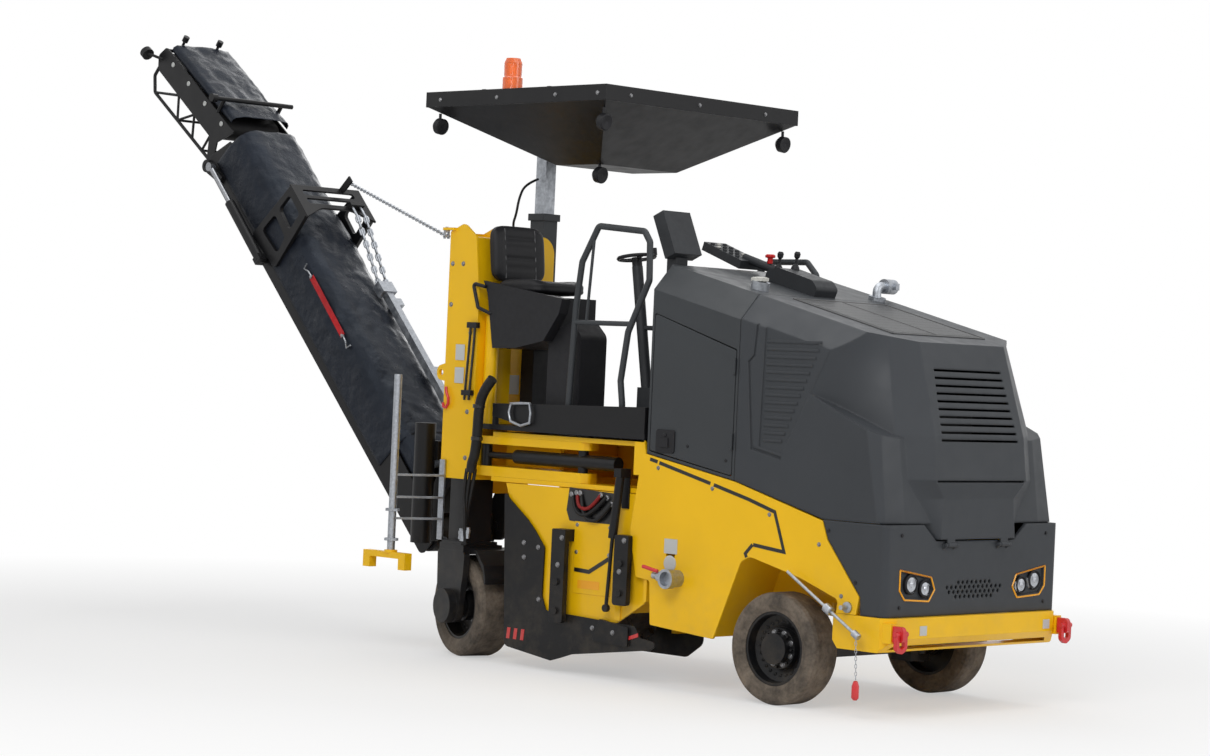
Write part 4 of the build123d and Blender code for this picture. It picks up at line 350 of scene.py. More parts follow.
class Solid:
    """Collects closed forms into one piece."""

    def __init__(self):
        self.verts, self.faces = [], []

    def put(self, verts, faces):
        base = len(self.verts)
        self.verts += [Vector(v) for v in verts]
        self.faces += [[base + i for i in face] for face in faces]

    def spin(self, profile, centre, axis, count=24):
        """Form turned from (radius, height) rows; it closes at both ends."""
        z = Vector(axis).normalized()
        x = z.orthogonal().normalized()
        y = z.cross(x)
        verts = [Vector(centre) + (x * c + y * s) * r + z * h for r, h in profile for c, s in circle(count)]
        self.put(verts, tube_faces(len(profile), count))

    def bolt(self, centre, axis, r):
        """Hexagon head on a washer."""
        self.spin([(1.25 * r, -0.001), (1.25 * r, 0.12 * r), (1.15 * r, 0.2 * r)], centre, axis, 18)
        self.spin([(r, 0.15 * r), (r, 0.6 * r), (0.86 * r, 0.72 * r)], centre, axis, 6)

    def bolts(self, centres, axis, r):
        for centre in centres:
            self.bolt(centre, axis, r)

    def slab(self, points, centre, x, y, depth):
        """Plate with the outline points (u, v) on the plane x, y; it is depth thick along x cross y."""
        x, y = Vector(x).normalized(), Vector(y).normalized()
        z = x.cross(y)
        n = len(points)
        flat = [Vector(centre) + x * u + y * v for u, v in points]
        soft = min(0.25 * depth, 0.002)
        mid = sum(flat, Vector()) / n
        inner = [p + (mid - p).normalized() * soft for p in flat]
        verts = flat + [p + z * (depth - soft) for p in flat] + [p + z * depth for p in inner]
        self.put(verts, tube_faces(3, n))

    def plate(self, centre, x, y, width, height, depth):
        u, v = width / 2, height / 2
        self.slab([(-u, -v), (u, -v), (u, v), (-u, v)], centre, x, y, depth)

    def box(self, low, high):
        size = Vector(high) - Vector(low)
        self.slab([(0, 0), (size.x, 0), (size.x, size.y), (0, size.y)], low, X, Y, size.z)

    def stripe(self, points, width, origin, depth=0.0016):
        """Band of one width along (x, z) points on a side face, with mitred corners."""
        pts = [Vector(p) for p in points]
        low, high = [], []
        for i, p in enumerate(pts):
            a = (p - pts[i - 1]).normalized() if i else (pts[1] - p).normalized()
            b = (pts[i + 1] - p).normalized() if i < len(pts) - 1 else a
            n = Vector((-(a + b).y, (a + b).x)).normalized()
            reach = width / 2 / max(0.35, n.dot(Vector((-a.y, a.x))))
            high.append(p + n * reach)
            low.append(p - n * reach)
        for i in range(len(pts) - 1):
            self.slab([low[i], low[i + 1], high[i + 1], high[i]], origin, X, Z, depth)

    def run(self, points, r, count=10, closed=False):
        """Round bar or wire along the points."""
        pts = [Vector(p) for p in points]
        last = len(pts) - 1
        verts, side = [], None
        for i, p in enumerate(pts):
            ahead = pts[(i + 1) % len(pts)] if closed or i < last else p
            back = pts[i - 1] if closed or i else p
            t = (ahead - back).normalized()
            side = t.orthogonal().normalized() if side is None else (side - t * side.dot(t)).normalized()
            over = t.cross(side)
            verts += [p + (side * c + over * s) * r for c, s in circle(count)]
        self.put(verts, tube_faces(len(pts), count, closed))

    def link(self, centre, along, across, length, width, r):
        """One chain link: an oval of wire."""
        across = Vector(across).normalized()
        half = (length - width) / 2
        bend = width / 2 - r
        points = [centre + along * (c * bend + math.copysign(half, c)) + across * s * bend
                  for c, s in circle(14)]
        self.run(points, r, 8, closed=True)

    def chain(self, start, end, pitch, width, r):
        """Links from start to end, each turned a quarter to the last."""
        start, span = Vector(start), Vector(end) - Vector(start)
        count = max(2, round(span.length / pitch))
        along = span.normalized()
        flat = along.cross(Z).normalized()
        tall = along.cross(flat)
        for k in range(count):
            across = flat + tall if k % 2 else flat - tall
            self.link(start + span * ((k + 0.5) / count), along, across, span.length / count + 2.4 * r,
                      width, r)

    def make(self, name, material, body="chassis", replaces=None):
        return finished(name, mesh_of(name, self.verts, self.faces), material, body, replaces)


def mesh_of(name, verts, faces):
    mesh = bpy.data.meshes.new(name)
    mesh.from_pydata([v + SHIFT for v in verts], [], faces)
    return mesh


def placed(name, data):
    obj = bpy.data.objects.new(name, data)
    bpy.context.scene.collection.objects.link(obj)
    return obj


def finished(name, mesh, material, body, replaces=None, crease=32):
    """Smooth-shaded piece on its body; edges sharper than the crease angle stay sharp."""
    mesh.update()
    mesh.materials.append(material)
    for face in mesh.polygons:
        face.use_smooth = True
    mesh.set_sharp_from_angle(angle=math.radians(crease))
    obj = placed(name, mesh)
    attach(obj, body)
    if replaces:
        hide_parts(replaces)
    return obj


def route(name, points, r, material):
    """Smooth round curve through a short list of points, not yet on a body."""
    curve = bpy.data.curves.new(name, "CURVE")
    curve.dimensions = "3D"
    spline = curve.splines.new("NURBS")
    spline.points.add(len(points) - 1)
    for knot, p in zip(spline.points, points):
        knot.co = (*at(*p), 1.0)
    spline.order_u = 3
    spline.use_endpoint_u = True
    spline.resolution_u = 6
    curve.bevel_depth = r
    curve.bevel_resolution = 3
    curve.use_fill_caps = True
    curve.materials.append(material)
    return placed(name, curve)


def hose(name, points, r, material, body="chassis"):
    """Clamped hose or pipe, which isn't a free cord."""
    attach(route(name, points, r, material), body)


def cord(name, points, r, material, body="chassis"):
    """Free hose between two fittings on one body."""
    obj = route(name, points, r, material)
    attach(obj, body)


def bridging_cord(name, points, r, material):
    """Free hose from the chassis to a sliding body, made into a plain mesh where it lies; it rides on no
    body."""
    curve = route(name, points, r, material)
    tube = bpy.data.meshes.new_from_object(curve)
    curve.data.bevel_depth = 0
    path = [v.co.copy() for v in bpy.data.meshes.new_from_object(curve).vertices]
    bpy.data.objects.remove(curve)
    tube.materials.clear()
    tube.materials.append(material)
    obj = placed(name, tube)
    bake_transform(obj)


def grid_piece(name, rows, material, body, thick):
    """Sheet from rows of points."""
    across = len(rows[0])
    faces = [(i * across + k, i * across + k + 1, (i + 1) * across + k + 1, (i + 1) * across + k)
             for i in range(len(rows) - 1) for k in range(across - 1)]
    obj = finished(name, mesh_of(name, [p for row in rows for p in row], faces), material, body, crease=180)
    solid = obj.modifiers.new("thickness", "SOLIDIFY")
    solid.thickness = thick
    solid.offset = 0.0
    return obj


TREES = {}


def seat_on(node, point, direction):
    """Where a line from a point first meets a CAD node, or None."""
    if node not in TREES:
        data = NODES[node].data
        TREES[node] = BVHTree.FromPolygons([v.co for v in data.vertices], [p.vertices for p in data.polygons])
    hit = TREES[node].ray_cast(at(*point), Vector(direction))[0]
    return None if hit is None else hit - SHIFT


def from_right(node, *spots):
    """Points on a node's right-hand face at the (x, z) spots; a spot beside the node gives none."""
    hits = [seat_on(node, (x, -1.2, z), Y) for x, z in spots]
    return [hit for hit in hits if hit is not None]


def from_front(node, *spots):
    hits = [seat_on(node, (1.5, y, z), -X) for y, z in spots]
    return [hit for hit in hits if hit is not None]


def from_above(node, *spots):
    hits = [seat_on(node, (x, y, 3.2), -Z) for x, y in spots]
    return [hit for hit in hits if hit is not None]


# ---------------------------------------------------------------- conveyor covers
BOOM_TURN, TIP_TURN = math.radians(47.6), math.radians(37.0)
BOOM_HALF = 0.270                     # half the width over the lower boom's side plates
FOLD_U = 3.352                        # the fold hinge's place along the lower boom
HOOP_PITCH = 0.62


def boom_frame(origin, slope):
    return Frame(origin, (-math.cos(slope), 0, math.sin(slope)), (math.sin(slope), 0, math.cos(slope)))


boom = boom_frame((-3.120, -0.200, 0.750), BOOM_TURN)
tip = boom_frame(boom(FOLD_U, 0, -0.236), TIP_TURN)


def ripple(u, v, seed):
    """Cloth relief: broad sags, diagonal pulls and small puckers, about -1 to 1."""
    broad = noise.noise(Vector((u * 1.6, v * 3.0, seed)))
    pulls = 1 - 2.4 * abs(noise.noise(Vector((u * 4 + v * 5, (u - v) * 2.0, seed + 5))))
    puckers = 1 - 2.4 * abs(noise.noise(Vector((u * 9 - v * 6, u * 2 + v * 8, seed + 9))))
    return 0.4 * broad + 0.45 * pulls + 0.35 * puckers


def resample(points, count):
    """Evenly spaced points along a line, and its length."""
    pts = [Vector(p) for p in points]
    total = sum((b - a).length for a, b in zip(pts, pts[1:]))
    out, seg, done = [], 0, 0.0
    for k in range(count):
        goal = total * k / (count - 1)
        while seg < len(pts) - 2 and done + (pts[seg + 1] - pts[seg]).length < goal - 1e-9:
            done += (pts[seg + 1] - pts[seg]).length
            seg += 1
        a, b = pts[seg], pts[seg + 1]
        out.append(a.lerp(b, min(1.0, (goal - done) / max(1e-9, (b - a).length))))
    return out, total


def cover(name, place, section, u0, u1, along, across, depth, body, seed, node=None):
    """Tarpaulin over a boom's hoops: it sags inward between them, and its side flap stands a little off."""
    line, girth = resample(section, across)
    rows = []
    for i in range(along):
        u = u0 + (u1 - u0) * i / (along - 1)
        hoop = 0.5 - 0.5 * math.cos(2 * math.pi * (u - u0) / HOOP_PITCH)
        row = []
        for k, p in enumerate(line):
            t = (line[min(across - 1, k + 1)] - line[max(0, k - 1)]).normalized()
            inward = Vector((-t.y, t.x))
            share = k / (across - 1)
            edge = min(1.0, 6.0 * min(share, 1 - share))
            relief = 0.42 - 0.55 * ripple(u, girth * share, seed)
            push = max(0.0, depth * relief * (0.35 + 0.65 * edge) * (0.45 + 0.55 * hoop))
            if abs(p.x) >= BOOM_HALF - 0.03:
                push *= 0.5
            if place is boom and p.y < 0.05:
                push *= -0.35
            q = p + inward * push
            row.append(place(u, q.x, q.y))
        rows.append(row)
    obj = grid_piece(name, rows, TARP, body, thick=0.0016)
    if node:
        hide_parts(node)


h = BOOM_HALF
SHOULDERS = [(h - 0.05, 0.165), (h - 0.11, 0.193), (0, 0.196), (-h + 0.11, 0.193), (-h + 0.05, 0.165),
             (-h + 0.013, 0.122), (-h + 0.013, 0.047)]
cover("tarp_lower", boom, [(h + 0.004, -0.150), (h + 0.004, 0.05), (h - 0.012, 0.122)] + SHOULDERS,
      0.62, 3.30, 150, 46, 0.034, "conveyor_lower", 1.0, node="boom_lower_cover")
cover("tarp_foot", boom, [(h - 0.013, 0.047), (h - 0.014, 0.122)] + SHOULDERS,
      0.33, 0.64, 24, 40, 0.022, "conveyor_lower", 3.0)
TIP_HALF = h - 0.012
TIP_SECTION = [(TIP_HALF - inset, w) for inset, w in
               ((0.011, 0.352), (0.012, 0.382), (0.03, 0.404), (0.09, 0.414), (TIP_HALF, 0.416))]
cover("tarp_upper", tip, TIP_SECTION + [(-v, w) for v, w in reversed(TIP_SECTION[:-1])],
      0.02, 0.895, 70, 40, 0.034, "conveyor_upper", 7.0, node="boom_upper_cover")

eyes = Solid()
for u in (0.09, 0.33, 0.57, 0.80):
    eyes.spin([(0.017, 0.0), (0.017, 0.004), (0.012, 0.006), (0.006, 0.004)],
              tip(u, TIP_HALF + 0.0005, 0.295), tip.y, 20)
eyes.make("tarp_eyelets", PALE, "conveyor_upper")

# red strap along the shoulder, with a bent hook at each end
STRAP_V, STRAP_HALF = BOOM_HALF + 0.0035, 0.022
strap_ends = ((1.51, 0.104, -1), (2.02, 0.110, 1))
(u0, w0, _), (u1, w1, _) = strap_ends
strap = Solid()
strap.slab([(u0, -w0 - STRAP_HALF), (u1, -w1 - STRAP_HALF), (u1, -w1 + STRAP_HALF), (u0, -w0 + STRAP_HALF)],
           boom(0, STRAP_V, 0), boom.x, -boom.z, 0.003)
strap.make("tie_strap", WEBBING, "conveyor_lower")
hooks = Solid()
for u, w, way in strap_ends:
    hooks.run([boom(u + du * way, STRAP_V + dv, w + dw) for du, dv, dw in
               ((0, 0, 0), (0.05, 0.004, 0), (0.09, 0.004, -0.02), (0.10, 0.002, 0.02))], 0.006, 8)
    hooks.spin([(0.012, 0.0), (0.012, 0.012), (0.008, 0.014)], boom(u, STRAP_V, w), boom.y, 16)
hooks.make("strap_hooks", STEEL, "conveyor_lower")


# ---------------------------------------------------------------- chains
MAST_EYE = Vector((-2.768, -0.784, 2.568))
stay_end = boom(2.585, -0.150, 0.450)
stay = Solid()
stay.chain(MAST_EYE + (stay_end - MAST_EYE).normalized() * 0.005, stay_end, 0.034, 0.026, 0.0042)
stay.make("stay_links", GALVANISED, "stay_chain", replaces="stay_chain")
hoist = Solid()
for v in (-0.201, -0.129):
    hoist.chain(boom(1.850, v, 0.248), boom(2.360, v, 0.374), 0.046, 0.040, 0.0065)
hoist.make("hoist_links", GALVANISED, "conveyor_lower")


# ---------------------------------------------------------------- seat
PANEL = 0.56                          # half of the sewn middle, as a share of the pad's half width
SEAM = 0.58


def pad_faces(nx, ny, nz):
    """Grid points (i, j, k) on a block's six sides, in order of first use, and its quads."""
    index, faces = {}, []
    sides = ((nx, ny, lambda a, b: (a, b, nz)), (nx, ny, lambda a, b: (nx - a, b, 0)),
             (nx, nz, lambda a, b: (a, 0, b)), (nx, nz, lambda a, b: (nx - a, ny, b)),
             (ny, nz, lambda a, b: (nx, a, b)), (ny, nz, lambda a, b: (0, ny - a, b)))
    for count_a, count_b, pick in sides:
        for a in range(count_a):
            for b in range(count_b):
                corners = [pick(a + i, b + j) for i, j in ((0, 0), (1, 0), (1, 1), (0, 1))]
                faces.append([index.setdefault(key, len(index)) for key in corners])
    return list(index), faces


def pad(name, size, centre, tilt, crown, bolster, channels):
    """Upholstered pad: a rounded block with raised side bolsters and channels sewn across its middle."""
    counts = (26, 26, 8)
    half = Vector(size) / 2
    keys, faces = pad_faces(*counts)
    turn = Matrix.Rotation(math.radians(tilt), 3, "Y")
    verts = []
    for key in keys:
        a, b, c = (2 * i / n - 1 for i, n in zip(key, counts))
        out = max(0.0, c)
        lift = crown * (1 - a * a) * (1 - b * b) * out
        lift += bolster * out * max(0.0, (abs(b) - 0.55) / 0.45) ** 0.7 * (1 - abs(a) ** 4)
        groove = 0.9 * math.exp(-((abs(b) - SEAM) / 0.03) ** 2) * (1 - abs(a) ** 8)
        if abs(b) < PANEL:
            groove += sum(math.exp(-((a - channel) / 0.035) ** 2) for channel in channels)
        lift -= 0.010 * groove * out
        p = Vector((a, b, c)) / max(1.0, (abs(a) ** 6 + abs(b) ** 6 + abs(c) ** 4) ** (1 / 5))
        pull = 1 - 0.03 * (1 - abs(c))
        verts.append(turn @ Vector((p.x * half.x * pull, p.y * half.y * pull,
                                    p.z * half.z + lift)) + Vector(centre))
    obj = finished(name, mesh_of(name, verts, faces), VINYL, "chassis", crease=180)
    sub = obj.modifiers.new("soft", "SUBSURF")
    sub.levels = sub.render_levels = 1
    piping = Solid()
    for way in (-1, 1):
        line = []
        for k in range(17):
            a = -0.86 + 1.72 * k / 16
            z = half.z + crown * (1 - a * a) * 0.66 - 0.004
            line.append(turn @ Vector((a * half.x, way * SEAM * half.y, z)) + Vector(centre))
        piping.run(line, 0.0035, 8)
    piping.make(name + "_piping", PIPING)
    return obj


cushion = pad("seat_cushion", (0.395, 0.452, 0.076), (-2.188, -0.520, 2.262), -2, 0.008, 0.022,
              (-0.45, 0.0, 0.45))
pad("seat_back", (0.352, 0.438, 0.060), (-2.412, -0.520, 2.470), 84, 0.006, 0.012, (-0.55, -0.2, 0.15, 0.5))
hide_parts("operator_seat")


# ---------------------------------------------------------------- right side plate
SIDE_Y = -0.780                       # the frame's right-hand face
SMALL_HEAD, HEAD, LARGE_HEAD = 0.008, 0.010, 0.012
on_side = (0, SIDE_Y - PROUD, 0)
marks = Solid()
for line in ([(-0.977, 1.297), (-0.918, 1.284)], [(-0.904, 1.280), (-0.507, 1.186)],
             [(-0.481, 1.180), (-0.219, 1.116), (-0.024, 1.059), (0.055, 0.845), (-0.170, 0.868)],
             [(-0.175, 0.868), (-0.225, 0.815), (-0.215, 0.795)]):
    marks.stripe(line, 0.020, on_side)
marks.make("side_marking", MARKING_AND_SHADE)

bolts = Solid()
bolts.bolts([(x, SIDE_Y, z) for x, z in
             ((-0.911, 1.250), (-0.491, 1.158), (-0.062, 1.042), (0.300, 0.905), (0.470, 0.640))], -Y, HEAD)
bolts.bolts(from_right("protector_guides", (-1.621, 0.800), (-1.646, 0.640), (-1.117, 0.820),
                       (-1.146, 0.640)),
            -Y, 0.013)
bolts.make("side_bolts", BOLT)

# drain valve with its blank plates
port = Solid()
port.plate((-0.787, SIDE_Y - PROUD, 0.812), X, Z, 0.100, 0.084, 0.002)
port.spin([(0.046, 0.0), (0.046, 0.004), (0.037, 0.006), (0.0345, 0.006)], (-0.787, SIDE_Y, 0.715), -Y, 32)
port.make("port_plate", PALE)
valve = Solid()
valve.run([(-0.805, -0.862, 0.672), (-0.84, -0.868, 0.678), (-0.905, -0.868, 0.690), (-0.915, -0.868, 0.690)],
          0.011, 12)
valve.make("valve_lever", RED)
neck = Solid()
neck.spin([(0.030, 0.0), (0.030, 0.030), (0.024, 0.034), (0.024, 0.060), (0.016, 0.066)],
          (-0.805, SIDE_Y - 0.020, 0.640), -Y, 28)
neck.spin([(0.020, 0.0), (0.020, 0.055), (0.014, 0.060)], (-0.80, -0.842, 0.64), (-1, 0, 0.1), 24)
neck.make("valve_body", GALVANISED)

# side door: recessed catch and screws
catch_x, catch_z = -0.868, 1.404
door_y = from_right("door_right", (catch_x, catch_z))[0].y
catch = Solid()
catch.slab([(-0.072, -0.066), (0.062, -0.066), (0.072, -0.056), (0.072, 0.056), (0.062, 0.066),
            (-0.062, 0.066),
            (-0.072, 0.056)], (catch_x, door_y - PROUD, catch_z), X, Z, 0.008)
catch.slab([(-0.030, -0.036), (0.030, -0.036), (0.026, 0.020), (-0.026, 0.020)],
           (catch_x, door_y - 0.006, catch_z), X, Z, 0.009)
catch.spin([(0.011, 0.0), (0.011, 0.006), (0.009, 0.008)], (catch_x, door_y - 0.006, catch_z + 0.036), -Y, 20)
catch.make("door_catch", PLASTIC, "door_right")
door_bolts = Solid()
door_bolts.bolts(from_right("door_right", (-0.698, 1.385), (-0.405, 1.320), (-0.880, 2.18), (-0.415, 2.09)),
                 -Y, SMALL_HEAD)
door_bolts.make("door_bolts", DARK_BOLT, "door_right")


# ---------------------------------------------------------------- front face
FACE_X = 0.764                        # where the fascia's front face lies when a line misses it
face_bolts = Solid()
face_bolts.bolts(from_front("front_fascia", *((y, z) for y in (-0.651, 0.651) for z in (0.985, 0.600))), X,
                 0.009)
face_bolts.bolts(from_right("front_fascia", (0.36, 0.985), (0.56, 0.72)), -Y, 0.009)
face_bolts.make("fascia_bolts", DARK_BOLT)

outline = Solid()
for way in (-1, 1):
    ring = []
    for y, z in ((0.655, 0.800), (0.385, 0.757), (0.352, 0.690), (0.400, 0.628), (0.610, 0.640),
                 (0.655, 0.690)):
        hits = from_front("front_fascia", (way * y, z))
        ring.append(Vector((hits[0].x if hits else FACE_X, way * y, z)) + X * 0.001)
    ring += ring[:2]                  # closed, its first side laid twice
    for a, b in zip(ring, ring[1:]):
        outline.run([a, b], 0.005, 8)
outline.make("lamp_outline", ORANGE)

bezels, reflectors = Solid(), Solid()
for way in (-1, 1):
    for y, z, r in ((0.557, 0.722, 0.048), (0.435, 0.697, 0.042)):
        face = from_front("headlamps", (way * y, z))[0]
        bezels.spin([(r * 1.16, -0.012), (r * 1.16, 0.003), (r * 1.06, 0.008), (r, 0.004), (r, 0.001)], face,
                    X, 36)
        reflectors.spin([(r * 0.80, 0.0005), (r * 0.80, 0.002), (r * 0.30, 0.0035), (r * 0.26, 0.006),
                         (r * 0.1, 0.008)], face, X, 32)
bezels.make("lamp_bezels", PLASTIC)
reflectors.make("lamp_reflectors", CHROME)

plates = Solid()
for face in from_front("front_bumper", (-0.480, 0.475), (0.640, 0.475)):
    plates.plate(face + X * PROUD, Y, Z, 0.060, 0.052, 0.003)
plates.make("bumper_plates", PALE)

# sight rod with its clamp, chain and tag, at the right front corner
rod_in, rod_out = Vector((0.128, -0.830, 0.746)), Vector((0.640, -0.850, 0.450))
slope = rod_out - rod_in
rod = Solid()
rod.run([rod_in, rod_out], 0.009, 12)
rod.spin([(0.020, -0.02), (0.020, 0.02), (0.016, 0.024)], rod_out, slope, 18)
rod.run([(0.520, SIDE_Y, 0.585), (0.520, -0.842, 0.585)], 0.013, 12)
rod.spin([(0.026, -0.022), (0.026, 0.022), (0.02, 0.026)], rod_in.lerp(rod_out, 0.60), slope, 20)
rod.spin([(0.030, 0.0), (0.030, 0.012), (0.012, 0.016)], (0.520, SIDE_Y - PROUD, 0.585), -Y, 24)
rod.make("sight_rod", GALVANISED)
tag_chain = Solid()
tag_chain.chain(rod_out + Vector((0, 0, -0.015)), rod_out + Vector((0.012, 0, -0.235)), 0.020, 0.014, 0.002)
tag_chain.make("tag_chain", GALVANISED)
tag = Solid()
tag.spin([(0.010, 0.0), (0.020, 0.012), (0.020, 0.075), (0.012, 0.10), (0.004, 0.104)],
         rod_out + Vector((0.012, 0, -0.345)), Z, 20)
tag.make("rod_tag", RED)


# ---------------------------------------------------------------- hood and cover details
def steps(low, high, count):
    return [low + (high - low) * k / (count - 1) for k in range(count)]


# punched sheet on the hood, with its frame of thin beads
rows = [[hit + Z * 0.0022 for hit in from_above("hood", *((x, y) for y in steps(-0.40, 0.40, 18)))]
        for x in steps(-0.26, 0.44, 24)]
grid_piece("grille_sheet", rows, MESH, "hood", thick=0.003)
beads = Solid()
for line in ([[(x, y) for x in steps(-0.27, 0.45, 12)] for y in (-0.415, 0.0, 0.415)]
             + [[(x, y) for y in steps(-0.415, 0.415, 10)] for x in (-0.27, 0.45)]):
    beads.run([hit + Z * 0.001 for hit in from_above("hood", *line)], 0.006, 8)
beads.make("grille_frame", MARKING_AND_SHADE, "hood")

cap = Solid()
seat = from_above("water_fittings", (-0.470, -0.480))[0]
cap.spin([(0.046, -0.002), (0.046, 0.016), (0.040, 0.022), (0.018, 0.024)], seat, Z, 32)
for c, s in circle(12):
    cap.spin([(0.006, 0.0), (0.006, 0.016), (0.004, 0.018)], seat + (X * c + Y * s) * 0.046, Z, 8)
cap.make("filler_cap", WHITE_PLASTIC)

# keys, lamps, stop button and levers on the roof console
CONSOLE_LOW = 2.3                     # a key that would land below this is off the console
keys, lamps = Solid(), Solid()
for i in range(3):
    for k in range(5):
        for hit in from_above("control_panels", (-1.20 + 0.050 * k, -0.085 + 0.055 * i)):
            if hit.z > CONSOLE_LOW:
                each = lamps if (i * 5 + k) % 4 == 1 else keys
                each.spin([(0.014, -0.001), (0.014, 0.007), (0.011, 0.010)], hit, Z, 18)
keys.make("panel_keys", GREY_PLASTIC)
lamps.make("panel_lamps", WHITE_PLASTIC)
stop = Solid()
stop.spin([(0.016, -0.002), (0.016, 0.030), (0.030, 0.034), (0.030, 0.046), (0.022, 0.052)],
          from_above("control_panels", (-0.80, -0.02))[0], Z, 24)
stop.make("stop_button", RED_PLASTIC)
levers = Solid()
for foot in from_above("control_panels", (-0.70, -0.06), (-0.64, 0.02)):
    levers.spin([(0.026, -0.002), (0.024, 0.012), (0.015, 0.026), (0.009, 0.034), (0.009, 0.062),
                 (0.017, 0.072),
                 (0.019, 0.092), (0.012, 0.104)], foot, (0.15, 0, 1), 20)
levers.make("panel_levers", PLASTIC)


# ---------------------------------------------------------------- legs, hoses and mast
hose("hose_sleeve", [(-2.243, -0.842, 1.709), (-2.301, -0.850, 1.643), (-2.341, -0.852, 1.545),
                     (-2.345, -0.852, 1.352), (-2.360, -0.852, 1.236), (-2.384, -0.850, 1.200),
                     (-2.392, -0.846, 1.142)], 0.032, HOSE)
clamps = Solid()
for centre in ((-2.342, -0.852, 1.540), (-2.346, -0.852, 1.345)):
    clamps.spin([(0.034, -0.012), (0.037, -0.010), (0.037, 0.010), (0.034, 0.012)], centre, Z, 28)
clamps.make("sleeve_clamps", MARKING_AND_SHADE)
for k, (x, y) in enumerate(((-2.372, -0.830), (-2.392, -0.848), (-2.412, -0.862))):
    bridging_cord(f"leg_hose_{k}", [(x, y, 1.16), (x - 0.02, y - 0.004, 1.02),
                                    (x - 0.05 + 0.03 * k, y - 0.010, 0.88),
                                    (-2.43 + 0.012 * k, y - 0.004, 0.79),
                                    (-2.46 + 0.03 * k, y + 0.004, 0.70)],
                  0.011, HOSE)
nipples = Solid()
for centre in ((-2.455, -0.846, 0.760), (-2.425, -0.862, 0.752), (-2.395, -0.850, 0.770)):
    nipples.spin([(0.015, -0.03), (0.015, 0.0), (0.018, 0.002), (0.018, 0.020), (0.014, 0.022),
                  (0.014, 0.036)],
                 centre, (0.1, 0, 1), 6)
nipples.make("hose_fittings", GALVANISED, "leg_right")

step = Solid()
step.run([(-2.12, -0.800, 1.566), (-2.04, -0.802, 1.571), (-1.96, -0.800, 1.573), (-1.945, -0.802, 1.515),
          (-1.953, -0.802, 1.457), (-2.027, -0.802, 1.438), (-2.113, -0.802, 1.460), (-2.130, -0.802, 1.515)],
         0.009, 10, closed=True)
step.make("step_loop", GALVANISED)

MAST_Y = -0.7845                      # just off the mast's right-hand face
mast_plates = Solid()
for z in (1.86, 1.72):
    mast_plates.plate((-2.60, MAST_Y, z), X, Z, 0.08, 0.096, 0.001)
wall = seat_on("rear_frame", (-2.0, -0.23, 1.672), -X)
mast_plates.plate(wall + X * PROUD, Y, Z, 0.144, 0.120, 0.0015)
mast_plates.make("mast_plates", PALE)
mast_bolts = Solid()
mast_bolts.bolts(from_right("rear_frame", (-2.704, 2.40), (-2.610, 2.40), (-2.704, 2.15), (-2.52, 1.98),
                            (-2.52, 1.50), (-2.52, 1.22)), -Y, LARGE_HEAD)
mast_bolts.make("mast_bolts", BOLT)
for k, x in enumerate((-2.497, -2.458)):
    hose(f"mast_pipe_{k}", [(x, -0.802, 2.027), (x - 0.006, -0.802, 1.90), (x - 0.018, -0.802, 1.75),
                            (x - 0.030, -0.802, 1.572)], 0.008, MARKING_AND_SHADE)
pipe_clips = Solid()
pipe_clips.box((-2.520, -0.815, 2.010), (-2.435, MAST_Y, 2.045))
pipe_clips.box((-2.545, -0.815, 1.600), (-2.465, MAST_Y, 1.632))
pipe_clips.make("pipe_clips", PLASTIC)
hook = Solid()
hook.run([(-2.700, -0.796, 1.645), (-2.690, -0.800, 1.610), (-2.672, -0.800, 1.580), (-2.672, -0.800, 1.545),
          (-2.690, -0.800, 1.518), (-2.712, -0.800, 1.523), (-2.718, -0.800, 1.548)], 0.009, 12)
hook.make("lashing_hook", RED)
bridging_cord("canopy_cable", [(-2.86, -0.12, 2.62), (-2.84, -0.16, 2.68), (-2.80, -0.17, 2.74),
                               (-2.79, -0.16, 2.85),
                               (-2.80, -0.10, 2.94), (-2.822, 0.03, 2.98)],
              0.008, HOSE)


# ---------------------------------------------------------------- drum bay and edge protector
BAY_HOSES = (
    (HOSE, [(-1.62, -0.745, 1.060), (-1.60, -0.762, 0.98), (-1.52, -0.768, 0.93), (-1.42, -0.768, 0.965),
            (-1.33, -0.760, 1.055)]),
    (RED_HOSE, [(-1.58, -0.745, 1.070), (-1.57, -0.760, 1.00), (-1.50, -0.766, 0.97), (-1.43, -0.766, 1.00),
                (-1.38, -0.752, 1.068)]),
    (HOSE, [(-1.55, -0.745, 1.070), (-1.52, -0.764, 0.945), (-1.44, -0.770, 0.905), (-1.36, -0.768, 0.93),
            (-1.29, -0.756, 1.02)]))
bay_y = from_right("drum_housing", (-1.46, 0.98))[0].y
ends = Solid()
for k, (material, line) in enumerate(BAY_HOSES):
    cord(f"bay_hose_{k}", line, 0.011, material)
    for x, _, z in (line[0], line[-1]):
        ends.spin([(0.017, -0.004), (0.017, 0.014), (0.013, 0.018)], (x, bay_y - 0.002, z - 0.004), -Y, 6)
# painted shade: a dark sheet laid on the recessed drum bay wall where shade falls
shadow = Solid()
shadow.slab([(-1.640, 0.900), (-1.330, 0.880), (-1.285, 0.920), (-1.270, 1.080), (-1.650, 1.095),
             (-1.668, 0.960)],
            (0, bay_y - PROUD, 0), X, Z, 0.002)
shadow.make("bay_shade", MARKING_AND_SHADE)
ends.make("bay_fittings", BOLT)

